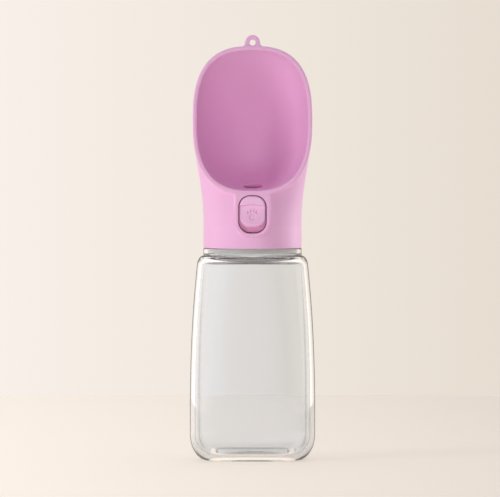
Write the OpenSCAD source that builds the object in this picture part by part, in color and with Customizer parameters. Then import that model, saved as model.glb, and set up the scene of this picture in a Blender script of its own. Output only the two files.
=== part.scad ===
// Dog travel water bottle: a clear bottle with a screwed-on drinking bowl.
// Pressing the button in the bowl's neck opens a spring-loaded valve, and
// water runs through it into the bowl. Sliding the button down locks it.
// Z is up, the bowl and the button face -Y, and Z = 0 is the table.

/* [Bottle] */
// Width of the bottle at its widest
bottle_w = 80; // [76:1:88]
// Depth of the bottle, front to back
bottle_d = 68; // [67:1:78]
// Width of the bottle just under its shoulder
bottle_top_w = 69.8; // [68:0.2:74]
// Depth of the bottle just under its shoulder
bottle_top_d = 66.8; // [66:0.2:72]
// Height of the shoulder above the table
shoulder_z = 130.4; // [110:0.2:160]
// Height over which the foot is rounded
foot_round_h = 17; // [10:1:24]
// How far the foot's rounding pulls in at the table
foot_round_w = 11.5; // [6:0.5:14]
// Height of the rounding under the shoulder
shoulder_round_h = 5.4; // [4:0.2:9]
// Wall of the bottle
bottle_wall = 2.6; // [2:0.1:3.2]
// Thickness of the bottle's floor
bottle_floor = 3.2; // [2.4:0.1:4.5]
// Depth of the hollow under the foot
foot_hollow = 0.8; // [0.4:0.1:1.2]

/* [Collar and neck] */
// Height of the clear collar under the head
collar_h = 5.1; // [4:0.1:7]
// Wall of the collar's skirt
collar_wall = 2; // [1.6:0.1:2.2]
// Outside diameter of the bottle's neck
neck_d = 50; // [47:0.5:50.5]
// Wall of the neck
neck_wall = 2.4; // [2:0.1:3]
// Height of the neck above the collar
neck_h = 7.5; // [6:0.1:8]
// Height of the screw thread's ridges
thread_h = 1.2; // [0.8:0.1:1.2]
// Thickness of the neck gasket
gasket_t = 1.2; // [1:0.1:1.8]

/* [Head] */
// Diameter of the head where it meets the collar
head_d = 62.8; // [62:0.2:65]
// Wall of the head
head_wall = 2.6; // [2.2:0.1:2.8]
// Height from the head's lower edge to the bowl's rim
chin_h = 34.7; // [33:0.1:40]
// How far the rim and the bezel stand out from the neck
bezel_proud = 1.8; // [1.2:0.1:3]
// Backward lean of the bowl's rim, in degrees
rim_lean = 5; // [2:0.5:9]

/* [Bowl] */
// Outside width of the bowl
bowl_w = 76.2; // [72:0.2:84]
// Outside height of the bowl
bowl_h = 94.6; // [88:0.2:104]
// Wall of the bowl
bowl_wall = 2.8; // [2.2:0.1:3.2]
// Depth of the bowl, square to its rim
bowl_depth = 50; // [46:0.5:51]
// Height of the deepest point above the bowl's lower rim
bowl_low = 22; // [20:0.5:28]

/* [Lanyard eye] */
// Diameter of the lanyard hole
eye_hole_d = 4; // [3:0.1:4.4]
// Wall of the eye round its hole
eye_wall = 2.8; // [2:0.1:3.5]
// Thickness of the eye
eye_t = 4; // [3:0.1:5]

/* [Button] */
// Width of the window in the bezel
window_w = 18; // [17:0.1:18.6]
// Height of the window
window_h = 24.2; // [23:0.1:24.4]
// Corner radius of the window
window_r = 7.6; // [6:0.1:8.2]
// Height of the window's lower edge above the head's lower edge
window_up = 10.1; // [10.1:0.1:10.6]
// Width of the bezel beside the window
bezel_w = 2.4; // [2:0.1:3.4]
// Travel of the button when it is pressed
press_travel = 3; // [2:0.1:3.2]
// Travel of the lock, downwards
lock_travel = 3; // [2:0.1:3.4]
// Thickness of the button at its lips
button_t = 3.2; // [3:0.1:3.8]
// Depth of the scooped thumb pad
scoop_depth = 2; // [1:0.1:2.2]
// Height of the band over the thumb pad
band_h = 5.4; // [4:0.1:6.5]
// Depth of the engraved paw mark
paw_relief = 0.35; // [0.2:0.05:0.6]

/* [Inner cap] */
// Thickness of the deck that closes the neck
deck_t = 1.8; // [1.4:0.1:2.2]
// Diameter of the vent's flap
vent_flap_d = 9.2; // [8:0.2:10]
// Thickness of the vent's flap
vent_flap_t = 1; // [0.7:0.1:1.4]

/* [Valve] */
// Bore of the valve's rear chamber
chamber_d = 10.4; // [10:0.1:11]
// Wall of the valve's barrel
barrel_wall = 1.6; // [1.2:0.1:1.8]
// Bore through the valve seat
seat_d = 6.8; // [6.4:0.1:7]
// Diameter of the stem
stem_d = 3; // [2.8:0.1:3.2]
// Cord of the stem's O-ring
stem_ring_t = 1.5; // [1.2:0.1:1.6]
// Diameter of the poppet seal
poppet_d = 9.2; // [8.8:0.1:9.4]
// Thickness of the poppet seal
poppet_t = 2; // [1.5:0.1:2.5]
// Wire of the valve spring
wire_d = 0.7; // [0.5:0.05:0.8]
// Outside diameter of the valve spring
spring_d = 7.8; // [7:0.1:8]
// Turns of the valve spring
spring_turns = 6; // [4:0.5:7]
// Length of the valve spring when the valve is shut
spring_len = 10.4; // [9.5:0.1:12]
// Cord of the plug's O-ring
plug_ring_t = 1.4; // [1.1:0.1:1.6]
// Bore of the inlet through the deck
inlet_d = 6; // [4:0.1:7]
// Bore of the outlet into the bowl
outlet_d = 4; // [3:0.1:4.4]
// Wall of the outlet's spout
spout_wall = 1.2; // [1:0.1:1.5]
// Thickness of the valve's foot
foot_t = 1.8; // [1.4:0.1:2.2]
// Thickness of the gasket under the valve's foot
foot_gasket_t = 0.8; // [0.5:0.1:1]

/* [Fits] */
// Radial clearance of round running fits
run_clear = 0.05; // [0.03:0.01:0.08]
// Clearance of sliding mouldings
slide_clear = 0.3; // [0.2:0.05:0.35]
// Radial clearance of assembled mouldings
seat_clear = 0.2; // [0.1:0.05:0.25]

/* [Hidden] */
$fn = 64;

// Points in one ring of a lofted skin
RING = 44;
// Overlap that cutters run past the faces they cut
CUT = 1;
// Shortest step that parts two faces of one cutter
HAIR = 0.01;

// Bottle
head_r = head_d / 2;
neck_r = neck_d / 2;
neck_bore_r = neck_r - neck_wall;
collar_z = shoulder_z + collar_h;
well_up = 1.2;
well_z = shoulder_z + well_up;
neck_top_z = collar_z + neck_h;
crown_extra = 0.6;
crown_w = 5;
ceiling_z = well_z - bottle_wall - crown_extra;
taper_share = 0.23;
taper_power = 2.2;
taper_from_z = taper_share * shoulder_z;
shoulder_land = 0.4;
foot_extra = 1;
foot_land = 5;
body_power = 4.4;
neck_power = 3;

// Inner cap and its deck
deck_z = neck_top_z + gasket_t;
deck_top_z = deck_z + deck_t;
insert_r = head_r - head_wall - seat_clear;
insert_bore_r = neck_r + thread_h + slide_clear;
insert_gap = 0.8;
insert_low_z = well_z + insert_gap;
plug_rib_r = neck_bore_r - 2 * seat_clear;
plug_rib_h = 2.6;
plug_rib_t = 1.2;
bead_up = 3.4;
bead_z = collar_z + bead_up;
bead_h = 0.5;
bead_slope = 0.4;
bead_flat = 0.2;
ledge_w = 1.4;
ledge_h = 1.7;

// Bowl
rim_z = collar_z + chin_h;
rim_top_z = rim_z + bowl_h;
front_y = -(head_r + bezel_proud);
deep_z = rim_z + bowl_low;
bowl_r = bowl_w / 2;
back_power = 1.45;
side_power = 2.3;
floor_power = 2.9;
rim_round = 2.65;
cheek_up = 14.5;
cheek_from_z = collar_z + cheek_up;
cheek_to_z = rim_z + 0.484 * bowl_h;
cheek_back = 22;
// Step that parts the cheeks' lowest ring from the round skirt
seam_step = 0.05;
cheek_ease = 1.15;
cheek_tuck = 1.6;
back_fall = 13.7;
back_ease = 1.65;
back_tuck = 0.9;
tuck_from = 0.82;
room_up = 15;
room_top_z = rim_z + room_up;
mouth_cut = 3;

// Lanyard eye
eye_r = eye_hole_d / 2 + eye_wall;
eye_root_w = 9;
eye_root_h = 6;
eye_up = 0.1;
eye_back = 0.3;
eye_z = rim_top_z + eye_hole_d / 2 + eye_up;
eye_front_y = front_y + bowl_h * tan(rim_lean) + eye_back;

// Window, button and carrier
window_z = collar_z + window_up;
window_mid_z = window_z + window_h / 2;
bezel_root = 1;
guide_deep = 3.2;
guide_rear_y = guide_deep + head_wall - head_r;
guide_in = 0.6;
guide_front_y = guide_in - sqrt(pow(head_r, 2) - pow(window_w / 2 + bezel_w, 2));
button_w = window_w - 4 * slide_clear;
button_gap = 0.8;
button_h = window_h - lock_travel - button_gap;
button_r = window_r - 2 * slide_clear;
button_mid_z = window_z + window_h - slide_clear - button_h / 2;
carrier_in = 2.5;
carrier_y = front_y + carrier_in;
rub_gap = 0.1;
button_y = carrier_y - rub_gap;
carrier_w = window_w - 2 * slide_clear;
carrier_low_z = deck_top_z + slide_clear;
carrier_h = window_z + window_h - slide_clear - carrier_low_z;
carrier_face_t = 2.2;
screw_sink = 1.7;
carrier_wall = 1.6;
flange_y = guide_rear_y + slide_clear;
flange_t = 1.5;
flange_lip = 1.6;
leg_x = 4.2;
leg_t = 1.4;
leg_h = 6;
leg_up = 1;
barb = 0.7;
barb_t = 1.2;
barb_gap = 0.2;
band_gap = 2.4;
lip_gap = 1;
lip_draft = 2.1;
draft_curve = 1.5;
side_draft = 0.35;
paw_drop = 3.3;
paw_r = 2.1;
screw_head_r = 2;
screw_r = 1;
screw_head_t = 1.4;
cross_w = 2.4;
cross_t = 0.5;

// Valve, on an axis along Y at the height of the window's middle
valve_z = window_mid_z;
stem_r = stem_d / 2;
seat_r = seat_d / 2;
chamber_r = chamber_d / 2;
barrel_r = chamber_r + barrel_wall;
gland_r = stem_r + stem_ring_t;
seat_y = 1;
seat_lip = 0.5;
seat_rim = 0.7;
poppet_y = seat_y + seat_lip;
clip_t = 0.6;
clip_y = poppet_y + poppet_t;
spring_y = clip_y + clip_t;
plug_y = spring_y + spring_len;
plug_nose = 4.5;
plug_flange_t = 1.5;
plug_bevel = 0.5;
barrel_rear_y = plug_y + plug_nose;
barrel_front_y = -14.5;
gland_len = 6.5;
land_in = 0.4;
land_t = 1.2;
groove_gap = 0.1;
ring_sink = 0.03;
guide_slack = 0.8;
guide_t = 1;
tail_step = 0.4;
clip_groove = 0.3;
clip_w = 2.2;
clip_mouth = 1.4;
screw_reach = 5;
hub_wall = 1.8;
hub_r = stem_r + run_clear + hub_wall;
hub_gap = 0.5;
hub_grip = 7.5;
hub_end_y = barrel_front_y - press_travel - hub_gap;
stem_front_y = hub_end_y - hub_grip;
stem_tail = 1.1;
stem_end_y = clip_y + clip_t + stem_tail;
foot_z = deck_top_z + foot_gasket_t;
foot_w = 26;
foot_from_y = -11;
foot_to_y = 17;
foot_corner = 4;
web_w = 2 * barrel_r - 1.2;
web_in = 1;
inlet_y = plug_y - spring_len / 2;
screw_x = 10;
screw_ys = [-7, 13];
boss_drop = 5;
boss_end_t = 1.2;
screw_boss_wall = 1.5;
tip_gap = 0.4;
outlet_y = -4;
spout_r = outlet_d / 2 + spout_wall;
spout_up = 3.6;
spout_top_z = valve_z + barrel_r + spout_up;
boss_gap = 1.2;
boss_low_z = spout_top_z + boss_gap;
outlet_boss_r = spout_r + 3;
sump_up = 3.8;
sump_z = rim_z + sump_up;
sump_cut = 6;
seal_neck_t = 0.8;
seal_lip_w = 2.4;
seal_wall = 1.5;
seal_grip = 3;
lip_t = 1.2;
vent_x = -15.5;
vent_stem_r = 1.3;
vent_port_x = 3;
vent_port_r = 0.6;
vent_lip = 0.8;
vent_edge_t = 0.3;
vent_barb = 0.7;
vent_knob_h = 2.2;

// One point of a rounded four-sided outline; power 2 gives an ellipse
function soft_point(a, b, power, angle) =
    [a * sign(cos(angle)) * pow(abs(cos(angle)), 2 / power),
     b * sign(sin(angle)) * pow(abs(sin(angle)), 2 / power)];

// Share of a quarter arc left at the share s of its run
function arc_left(s, power) = pow(max(0, 1 - pow(s, power)), 1 / power);

// Smooth step from 0 to 1
function ease(t) = let (u = min(1, max(0, t))) u * u * (3 - 2 * u);

// Corner points of a rounded rectangle about the origin
function rounded_points(w, h, r, steps = 7) =
    [for (q = [0:3], i = [0:steps])
        let (a = 90 * (q + i / steps),
             cx = (q == 0 || q == 3 ? 1 : -1) * (w / 2 - r),
             cy = (q < 2 ? 1 : -1) * (h / 2 - r))
        [cx + r * cos(a), cy + r * sin(a)]];

// Closed skin over rings of equal length; tip closes it in one point
module loft(rings, tip = undef) {
    n = len(rings[0]);
    m = len(rings);
    points = concat([for (ring = rings) each ring],
                    is_undef(tip) ? [] : [tip]);
    sides = [for (k = [0:m - 2], i = [0:n - 1])
        let (a = k * n + i, b = k * n + (i + 1) % n)
        each [[a, a + n, b + n], [a, b + n, b]]];
    low_cap = [[for (i = [0:n - 1]) i]];
    last = (m - 1) * n;
    high_cap = is_undef(tip)
        ? [[for (i = [n - 1:-1:0]) last + i]]
        : [for (i = [0:n - 1]) [last + i, m * n, last + (i + 1) % n]];
    polyhedron(points, concat(low_cap, sides, high_cap));
}

// Outline in X and Z pushed along Y from y0 to y1
module push_y(y0, y1) {
    translate([0, y1, 0])
        rotate([90, 0, 0])
        linear_extrude(y1 - y0)
        children();
}

// Round bar along Y at the valve's height, from y0 to y1
module bar_y(r, y0, y1, z = valve_z) {
    translate([0, y1, z])
        rotate([90, 0, 0])
        cylinder(h = y1 - y0, r = r);
}

// Profile of [radius, y] points turned round the valve's axis
module turn_y() {
    translate([0, 0, valve_z])
        rotate([-90, 0, 0])
        rotate_extrude()
        children();
}

// Ring of round cord turned round the valve's axis
module o_ring(mid_r, cord_t, y) {
    turn_y()
        translate([mid_r, y])
        circle(d = cord_t, $fn = 24);
}

/* Bottle */

// How far the outline has drawn in at height z, for one half size
function drawn_in(z, half, half_top, half_land) =
    let (foot_s = max(0, (foot_round_h - z) / foot_round_h),
         taper_s = max(0, (z - taper_from_z) / (shoulder_z - taper_from_z)),
         round_z = shoulder_z - shoulder_round_h,
         edge_s = max(0, (z - round_z) / shoulder_round_h))
    foot_round_w * (1 - arc_left(foot_s, 2))
    + (half - half_top) * pow(taper_s, taper_power)
    + (half_top - half_land) * (1 - arc_left(edge_s, 2));

function bottle_ring(z) =
    let (land = head_r + shoulder_land,
         a = bottle_w / 2 - drawn_in(z, bottle_w / 2, bottle_top_w / 2, land),
         b = bottle_d / 2 - drawn_in(z, bottle_d / 2, bottle_top_d / 2, land),
         power = body_power - (body_power - neck_power) * pow(z / shoulder_z, 2))
    [for (i = [0:RING - 1])
        let (p = soft_point(a, b, power, 360 * i / RING))
        [p.x, p.y, z]];

// The cavity keeps the wall at the sides and is rounder in its corners
function cavity_ring(z) =
    let (foot_s = max(0, (foot_round_h - z) / (foot_round_h - bottle_floor)),
         draw = (foot_round_w - foot_extra) * (1 - arc_left(foot_s, 2)),
         taper_s = max(0, (z - taper_from_z) / (shoulder_z - taper_from_z)),
         round_z = ceiling_z - shoulder_round_h,
         edge_s = max(0, (z - round_z) / shoulder_round_h),
         edge = crown_w * (1 - arc_left(edge_s, 2)),
         narrow = pow(taper_s, taper_power),
         a = bottle_w / 2 - narrow * (bottle_w - bottle_top_w) / 2,
         b = bottle_d / 2 - narrow * (bottle_d - bottle_top_d) / 2,
         inset = bottle_wall + draw + edge,
         power = body_power - (body_power - neck_power) * pow(z / shoulder_z, 2))
    [for (i = [0:RING - 1])
        let (p = soft_point(a - inset, b - inset, power, 360 * i / RING))
        [p.x, p.y, z]];

module bottle() color([0.86, 0.88, 0.89, 0.45]) {
    foot = [for (i = [0:4]) foot_round_h * (1 - cos(90 * i / 5))];
    side = [for (i = [0:4])
        foot_round_h + (shoulder_z - shoulder_round_h - foot_round_h) * i / 4];
    edge = [for (i = [1:4]) shoulder_z - shoulder_round_h * (1 - sin(90 * i / 4))];
    pool = [for (i = [0:3])
        bottle_floor + (foot_round_h - bottle_floor) * (1 - cos(90 * i / 4))];
    hull_side = [for (i = [0:4])
        foot_round_h + (ceiling_z - shoulder_round_h - foot_round_h) * i / 4];
    crown = [for (i = [1:3]) ceiling_z - shoulder_round_h * (1 - sin(90 * i / 3))];
    difference() {
        union() {
            loft([for (z = concat(foot, side, edge)) bottle_ring(z)]);
            translate([0, 0, shoulder_z - HAIR])
                cylinder(h = collar_h + HAIR, r = head_r);
            translate([0, 0, well_z])
                cylinder(h = neck_top_z - well_z, r = neck_r);
        }
        loft([for (z = concat(pool, hull_side, crown)) cavity_ring(z)]);
        translate([0, 0, ceiling_z - CUT])
            cylinder(h = neck_top_z - ceiling_z + 2 * CUT, r = neck_bore_r);
        // well between the collar's skirt and the neck
        translate([0, 0, well_z])
            rotate_extrude()
            translate([neck_r, 0])
            square([head_r - collar_wall - neck_r, collar_h + CUT]);
        // hollow under the foot, leaving a rim to stand on
        translate([0, 0, -CUT])
            linear_extrude(foot_hollow + CUT)
            polygon([for (i = [0:RING - 1])
                soft_point(bottle_w / 2 - foot_round_w - foot_land,
                           bottle_d / 2 - foot_round_w - foot_land,
                           body_power, 360 * i / RING)]);
    }
}

module neck_gasket() color([0.93, 0.93, 0.92]) {
    translate([0, 0, neck_top_z])
        difference() {
            cylinder(h = gasket_t, r = insert_bore_r - seat_clear);
            translate([0, 0, -CUT])
                cylinder(h = gasket_t + 2 * CUT, r = neck_bore_r);
        }
}

/* Head */

// Front plane of the rim: upright below the bowl, leaning back beside it
function rim_y(z) = front_y + max(0, z - rim_z) * tan(rim_lean);

// One ring of the bowl's skin at the share s of its depth. Its points draw
// in to the deepest point, each by its own curve. grow is the wall that the
// outer skin adds to the pocket.
function bowl_ring(s, grow, forward = 0) =
    let (half_w = bowl_r - bowl_wall + grow,
         top_h = rim_top_z - deep_z - bowl_wall + grow,
         low_h = deep_z - rim_z - bowl_wall + grow,
         depth = (bowl_depth + grow) * s - forward)
    [for (i = [0:RING - 1])
        let (p = soft_point(half_w, (top_h + low_h) / 2, rim_round, 360 * i / RING),
             up = p.y + (top_h - low_h) / 2,
             climb = up / norm([p.x, up]),
             end_power = climb > 0 ? back_power : floor_power,
             power = side_power + (end_power - side_power) * climb * climb,
             left = sqrt(1 - pow(s, power)),
             z = deep_z + left * up)
        [-left * p.x, rim_y(z) + depth, z]];

// Skin of the bowl: grow is 0 for the pocket, bowl_wall for the outside
module bowl_skin(grow, forward = 0) {
    steps = 9;
    mouth = forward > 0 ? [bowl_ring(0, grow, forward)] : [];
    rings = [for (i = [0:steps - 1]) bowl_ring(sin(90 * i / steps), grow)];
    loft(concat(mouth, rings), [0, rim_y(deep_z) + bowl_depth + grow, deep_z]);
}

// One level section of the neck as it widens into the bowl's cheeks
function cheek_ring(z, inset) =
    let (v = max(0, (z - cheek_from_z) / (cheek_to_z - cheek_from_z)),
         turn = pow(max(0, v - tuck_from) / (1 - tuck_from), 2),
         w = head_r + (bowl_r - head_r) * ease(pow(v, cheek_ease))
             - cheek_tuck * turn - inset,
         mid_y = -cheek_back * ease(v),
         front = mid_y - rim_y(z) - bezel_proud - inset,
         back = head_r - back_fall * pow(v, back_ease) - back_tuck * turn
                - mid_y - inset,
         power = 2 + 1.2 * v)
    [for (i = [0:RING - 1])
        let (angle = 360 * i / RING,
             p = sin(angle) < 0 ? soft_point(w, front, power, angle)
                                : soft_point(w, back, 2, angle))
        [p.x, mid_y + p.y, z]];

// Pushed outline of the window, grown by g
module window_outline(g) {
    translate([0, window_mid_z])
        polygon(rounded_points(window_w + 2 * g, window_h + 2 * g, window_r + g));
}

module lanyard_eye() {
    push_y(eye_front_y, eye_front_y + eye_t)
        union() {
            translate([0, eye_z])
                circle(r = eye_r);
            translate([0, rim_top_z - eye_root_h])
                polygon([[-eye_root_w, 0], [eye_root_w, 0],
                         [eye_r, eye_root_h + CUT], [-eye_r, eye_root_h + CUT]]);
        }
}

module bowl_head() color([0.97, 0.75, 0.89]) {
    levels = 7;
    room_levels = 4;
    room_z = deck_top_z + ledge_h;
    bezel_top_z = rim_z + CUT;
    difference() {
        union() {
            difference() {
                union() {
                    translate([0, 0, collar_z])
                        cylinder(h = cheek_from_z - collar_z, r = head_r);
                    loft([for (i = [0:levels])
                        cheek_ring(cheek_from_z
                                   + (cheek_to_z - cheek_from_z) * i / levels,
                                   i == 0 ? seam_step : 0)]);
                }
                translate([0, 0, collar_z - CUT])
                    cylinder(h = deck_top_z - collar_z + CUT, r = head_r - head_wall);
                translate([0, 0, deck_top_z - HAIR])
                    cylinder(h = ledge_h + 2 * HAIR, r = head_r - head_wall - ledge_w);
                loft([for (i = [0:room_levels])
                    cheek_ring(room_z + (room_top_z - room_z) * i / room_levels,
                               head_wall)]);
            }
            bowl_skin(bowl_wall);
            lanyard_eye();
            // raised bezel outside, and the button's guide inside
            push_y(front_y, bezel_root - head_r)
                union() {
                    window_outline(bezel_w);
                    translate([-window_w / 2 - bezel_w, window_mid_z])
                        square([window_w + 2 * bezel_w, bezel_top_z - window_mid_z]);
                }
            push_y(guide_front_y, guide_rear_y)
                translate([-window_w / 2 - bezel_w, deck_top_z])
                square([window_w + 2 * bezel_w, bezel_top_z - deck_top_z]);
            // boss that holds the outlet seal
            translate([0, outlet_y, boss_low_z])
                cylinder(h = sump_z - boss_low_z, r = outlet_boss_r);
        }
        bowl_skin(0, mouth_cut);
        push_y(front_y - CUT, guide_rear_y + CUT)
            window_outline(0);
        translate([0, 0, eye_z])
            bar_y(eye_hole_d / 2, eye_front_y - CUT, eye_front_y + eye_t + CUT, 0);
        translate([0, outlet_y, boss_low_z - CUT])
            cylinder(h = sump_z - boss_low_z + 2 * CUT, r = spout_r + seal_neck_t);
        translate([0, outlet_y, sump_z])
            cylinder(h = sump_cut, r = spout_r + seal_lip_w + 2 * seat_clear);
        // groove for the inner cap's snap bead
        snap_ring(head_r - head_wall - HAIR, bead_h + seat_clear);
    }
}

// Ring with a pointed rim, at the height of the snap bead
module snap_ring(r, h) {
    rotate_extrude()
        polygon([[r - CUT, bead_z - h - bead_slope - CUT],
                 [r, bead_z - h - bead_slope],
                 [r + h, bead_z - bead_flat], [r + h, bead_z + bead_flat],
                 [r, bead_z + h + bead_slope],
                 [r - CUT, bead_z + h + bead_slope + CUT]]);
}

/* Inner cap */

module inner_cap() color([0.95, 0.95, 0.94]) {
    difference() {
        union() {
            rotate_extrude()
                polygon([[0, deck_z], [insert_bore_r, deck_z],
                         [insert_bore_r, insert_low_z], [insert_r, insert_low_z],
                         [insert_r, bead_z - bead_h - bead_slope],
                         [insert_r + bead_h, bead_z - bead_flat],
                         [insert_r + bead_h, bead_z + bead_flat],
                         [insert_r, bead_z + bead_h + bead_slope],
                         [insert_r, deck_top_z], [0, deck_top_z]]);
            // rib that centres the deck in the neck's bore
            translate([0, 0, deck_z - plug_rib_h])
                rotate_extrude()
                translate([plug_rib_r - plug_rib_t, 0])
                square([plug_rib_t, plug_rib_h + HAIR]);
            for (x = [-screw_x, screw_x], y = screw_ys)
                translate([x, y, deck_z - boss_drop])
                    cylinder(h = boss_drop + HAIR, r = screw_r + screw_boss_wall);
        }
        translate([0, inlet_y, deck_z - CUT])
            cylinder(h = deck_t + 2 * CUT, d = inlet_d);
        for (x = [-screw_x, screw_x], y = screw_ys)
            translate([x, y, deck_z - boss_drop + boss_end_t])
                cylinder(h = boss_drop + deck_t, r = screw_r + run_clear);
        translate([vent_x, 0, deck_z - CUT])
            cylinder(h = deck_t + 2 * CUT, r = vent_stem_r + run_clear);
        for (k = [0:3])
            translate([vent_x, 0, deck_z - CUT])
                rotate([0, 0, 45 + 90 * k])
                translate([vent_port_x, 0, 0])
                cylinder(h = deck_t + 2 * CUT, r = vent_port_r, $fn = 24);
    }
}

module vent_valve() color([0.93, 0.93, 0.92]) {
    translate([vent_x, 0, 0])
        rotate_extrude()
        polygon([[0, deck_z - vent_flap_t],
                 [vent_flap_d / 2 - vent_lip, deck_z - vent_flap_t],
                 [vent_flap_d / 2, deck_z - vent_edge_t], [vent_flap_d / 2, deck_z],
                 [vent_stem_r, deck_z], [vent_stem_r, deck_top_z],
                 [vent_stem_r + vent_barb, deck_top_z],
                 [vent_stem_r / 2, deck_top_z + vent_knob_h],
                 [0, deck_top_z + vent_knob_h]]);
}

/* Valve */

module foot_outline() {
    translate([0, (foot_from_y + foot_to_y) / 2])
        polygon(rounded_points(foot_w, foot_to_y - foot_from_y, foot_corner, 5));
}

module foot_gasket() color([0.93, 0.93, 0.92]) {
    translate([0, 0, deck_top_z])
        difference() {
            linear_extrude(foot_gasket_t)
                foot_outline();
            translate([0, inlet_y, -CUT])
                cylinder(h = foot_gasket_t + 2 * CUT, d = inlet_d);
            for (x = [-screw_x, screw_x], y = screw_ys)
                translate([x, y, -CUT])
                    cylinder(h = foot_gasket_t + 2 * CUT, r = screw_r + seat_clear);
        }
}

module valve_body() color([0.9, 0.91, 0.92]) {
    difference() {
        union() {
            bar_y(barrel_r, barrel_front_y, barrel_rear_y);
            translate([0, 0, foot_z])
                linear_extrude(foot_t)
                foot_outline();
            // web between the foot and the barrel
            translate([-web_w / 2, foot_from_y + web_in, foot_z + HAIR])
                cube([web_w, foot_to_y - foot_from_y - 2 * web_in,
                      valve_z - foot_z - HAIR]);
            translate([0, outlet_y, valve_z])
                cylinder(h = spout_top_z - valve_z, r = spout_r);
        }
        bar_y(gland_r, barrel_front_y - CUT, barrel_front_y + gland_len);
        bar_y(seat_r, barrel_front_y + gland_len - CUT, poppet_y + HAIR);
        bar_y(chamber_r, poppet_y, barrel_rear_y + CUT);
        // shoulder round the raised seat
        turn_y()
            translate([seat_r + seat_rim, seat_y])
            square([chamber_r - seat_r - seat_rim, seat_lip + HAIR]);
        translate([0, inlet_y, foot_z - CUT])
            cylinder(h = valve_z - foot_z + CUT, d = inlet_d);
        translate([0, outlet_y, valve_z])
            cylinder(h = spout_top_z - valve_z + CUT, d = outlet_d);
        for (x = [-screw_x, screw_x], y = screw_ys)
            translate([x, y, foot_z - CUT])
                cylinder(h = foot_t + 2 * CUT, r = screw_r + seat_clear);
    }
}

module valve_screws() color([0.72, 0.73, 0.75]) {
    for (x = [-screw_x, screw_x], y = screw_ys)
        translate([x, y, 0])
            difference() {
                union() {
                    translate([0, 0, foot_z + foot_t])
                        cylinder(h = screw_head_t, r = screw_head_r);
                    translate([0, 0, deck_z - boss_drop + boss_end_t + tip_gap])
                        cylinder(h = foot_z + foot_t + HAIR - deck_z + boss_drop - boss_end_t - tip_gap,
                                 r = screw_r);
                }
                for (turn = [0, 90])
                    translate([0, 0, foot_z + foot_t + screw_head_t])
                        rotate([0, 0, turn])
                        cube([cross_w, cross_t, screw_head_t], center = true);
            }
}

// Stem: carrier end, gland groove for the O-ring, flange and poppet end
module valve_stem() color([0.92, 0.92, 0.9]) {
    groove_y = ring_y() - stem_ring_t / 2 - groove_gap;
    groove_w = stem_ring_t + 2 * groove_gap;
    land_r = gland_r - run_clear;
    guide_r = seat_r - guide_slack;
    end_r = stem_r - tail_step;
    difference() {
        turn_y()
            polygon([[0, stem_front_y], [stem_r, stem_front_y],
                     [stem_r, groove_y - land_t], [land_r, groove_y - land_t],
                     [land_r, groove_y], [stem_r - run_clear, groove_y],
                     [stem_r - run_clear, groove_y + groove_w],
                     [land_r, groove_y + groove_w],
                     [land_r, groove_y + groove_w + land_t],
                     [stem_r, groove_y + groove_w + land_t],
                     [stem_r, poppet_y - guide_t], [guide_r, poppet_y - guide_t],
                     [guide_r, poppet_y], [end_r, poppet_y],
                     [end_r, clip_y], [end_r - clip_groove, clip_y],
                     [end_r - clip_groove, clip_y + clip_t],
                     [end_r, clip_y + clip_t], [end_r, stem_end_y - tail_step],
                     [end_r - tail_step, stem_end_y], [0, stem_end_y]]);
        bar_y(screw_r + run_clear, stem_front_y - CUT, stem_front_y + screw_reach + CUT);
    }
}

// Middle of the O-ring on the stem, in the front half of the gland at rest
function ring_y() = barrel_front_y + land_in + land_t + groove_gap + stem_ring_t / 2;

module stem_o_ring() color([0.16, 0.16, 0.17])
    o_ring(stem_r + stem_ring_t / 2 - ring_sink, stem_ring_t, ring_y());

module poppet_seal() color([0.93, 0.93, 0.92]) {
    turn_y()
        polygon([[stem_r - tail_step + run_clear, poppet_y],
                 [poppet_d / 2 - tail_step, poppet_y],
                 [poppet_d / 2, poppet_y + tail_step],
                 [poppet_d / 2, clip_y - 2 * tail_step],
                 [poppet_d / 2 - 2 * tail_step, clip_y],
                 [stem_r - tail_step + run_clear, clip_y]]);
}

module poppet_clip() color([0.72, 0.73, 0.75]) {
    difference() {
        turn_y()
            translate([stem_r - tail_step - clip_groove + run_clear, clip_y + HAIR])
            square([clip_w, clip_t - 2 * HAIR]);
        // open side of the clip
        translate([-clip_mouth / 2, clip_y - CUT, valve_z - stem_r - clip_w])
            cube([clip_mouth, clip_t + 2 * CUT, stem_r + clip_w]);
    }
}

// Helical wire between the clip and the plug
module valve_spring() color([0.75, 0.76, 0.78]) {
    per_turn = 10;
    sides = 6;
    r = (spring_d - wire_d) / 2;
    y0 = spring_y + wire_d / 2 + ring_sink;
    rise = spring_len - wire_d - 2 * ring_sink;
    steps = floor(spring_turns * per_turn);
    slope = atan2(rise, 360 * spring_turns * PI / 180 * r);
    rings = [for (k = [0:steps])
        let (a = 360 * k / per_turn, y = y0 + rise * k / steps)
        [for (i = [0:sides - 1])
            let (b = 360 * i / sides,
                 out = r + wire_d / 2 * cos(b),
                 up = wire_d / 2 * sin(b) * cos(slope),
                 along = -wire_d / 2 * sin(b) * sin(slope))
            [out * cos(a) - along * sin(a), y + up,
             valve_z + out * sin(a) + along * cos(a)]]];
    loft(rings);
}

module spring_plug() color([0.9, 0.91, 0.92]) {
    ring_mid = plug_y + plug_nose / 2;
    half = plug_ring_t / 2 + groove_gap;
    groove_r = chamber_r - run_clear - plug_ring_t;
    nose_r = chamber_r - run_clear;
    turn_y()
        polygon([[0, plug_y], [nose_r - plug_bevel, plug_y],
                 [nose_r, plug_y + plug_bevel], [nose_r, ring_mid - half],
                 [groove_r, ring_mid - half], [groove_r, ring_mid + half],
                 [nose_r, ring_mid + half],
                 [nose_r, barrel_rear_y], [barrel_r, barrel_rear_y],
                 [barrel_r, barrel_rear_y + plug_flange_t - plug_bevel],
                 [barrel_r - plug_bevel, barrel_rear_y + plug_flange_t],
                 [0, barrel_rear_y + plug_flange_t]]);
}

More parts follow.
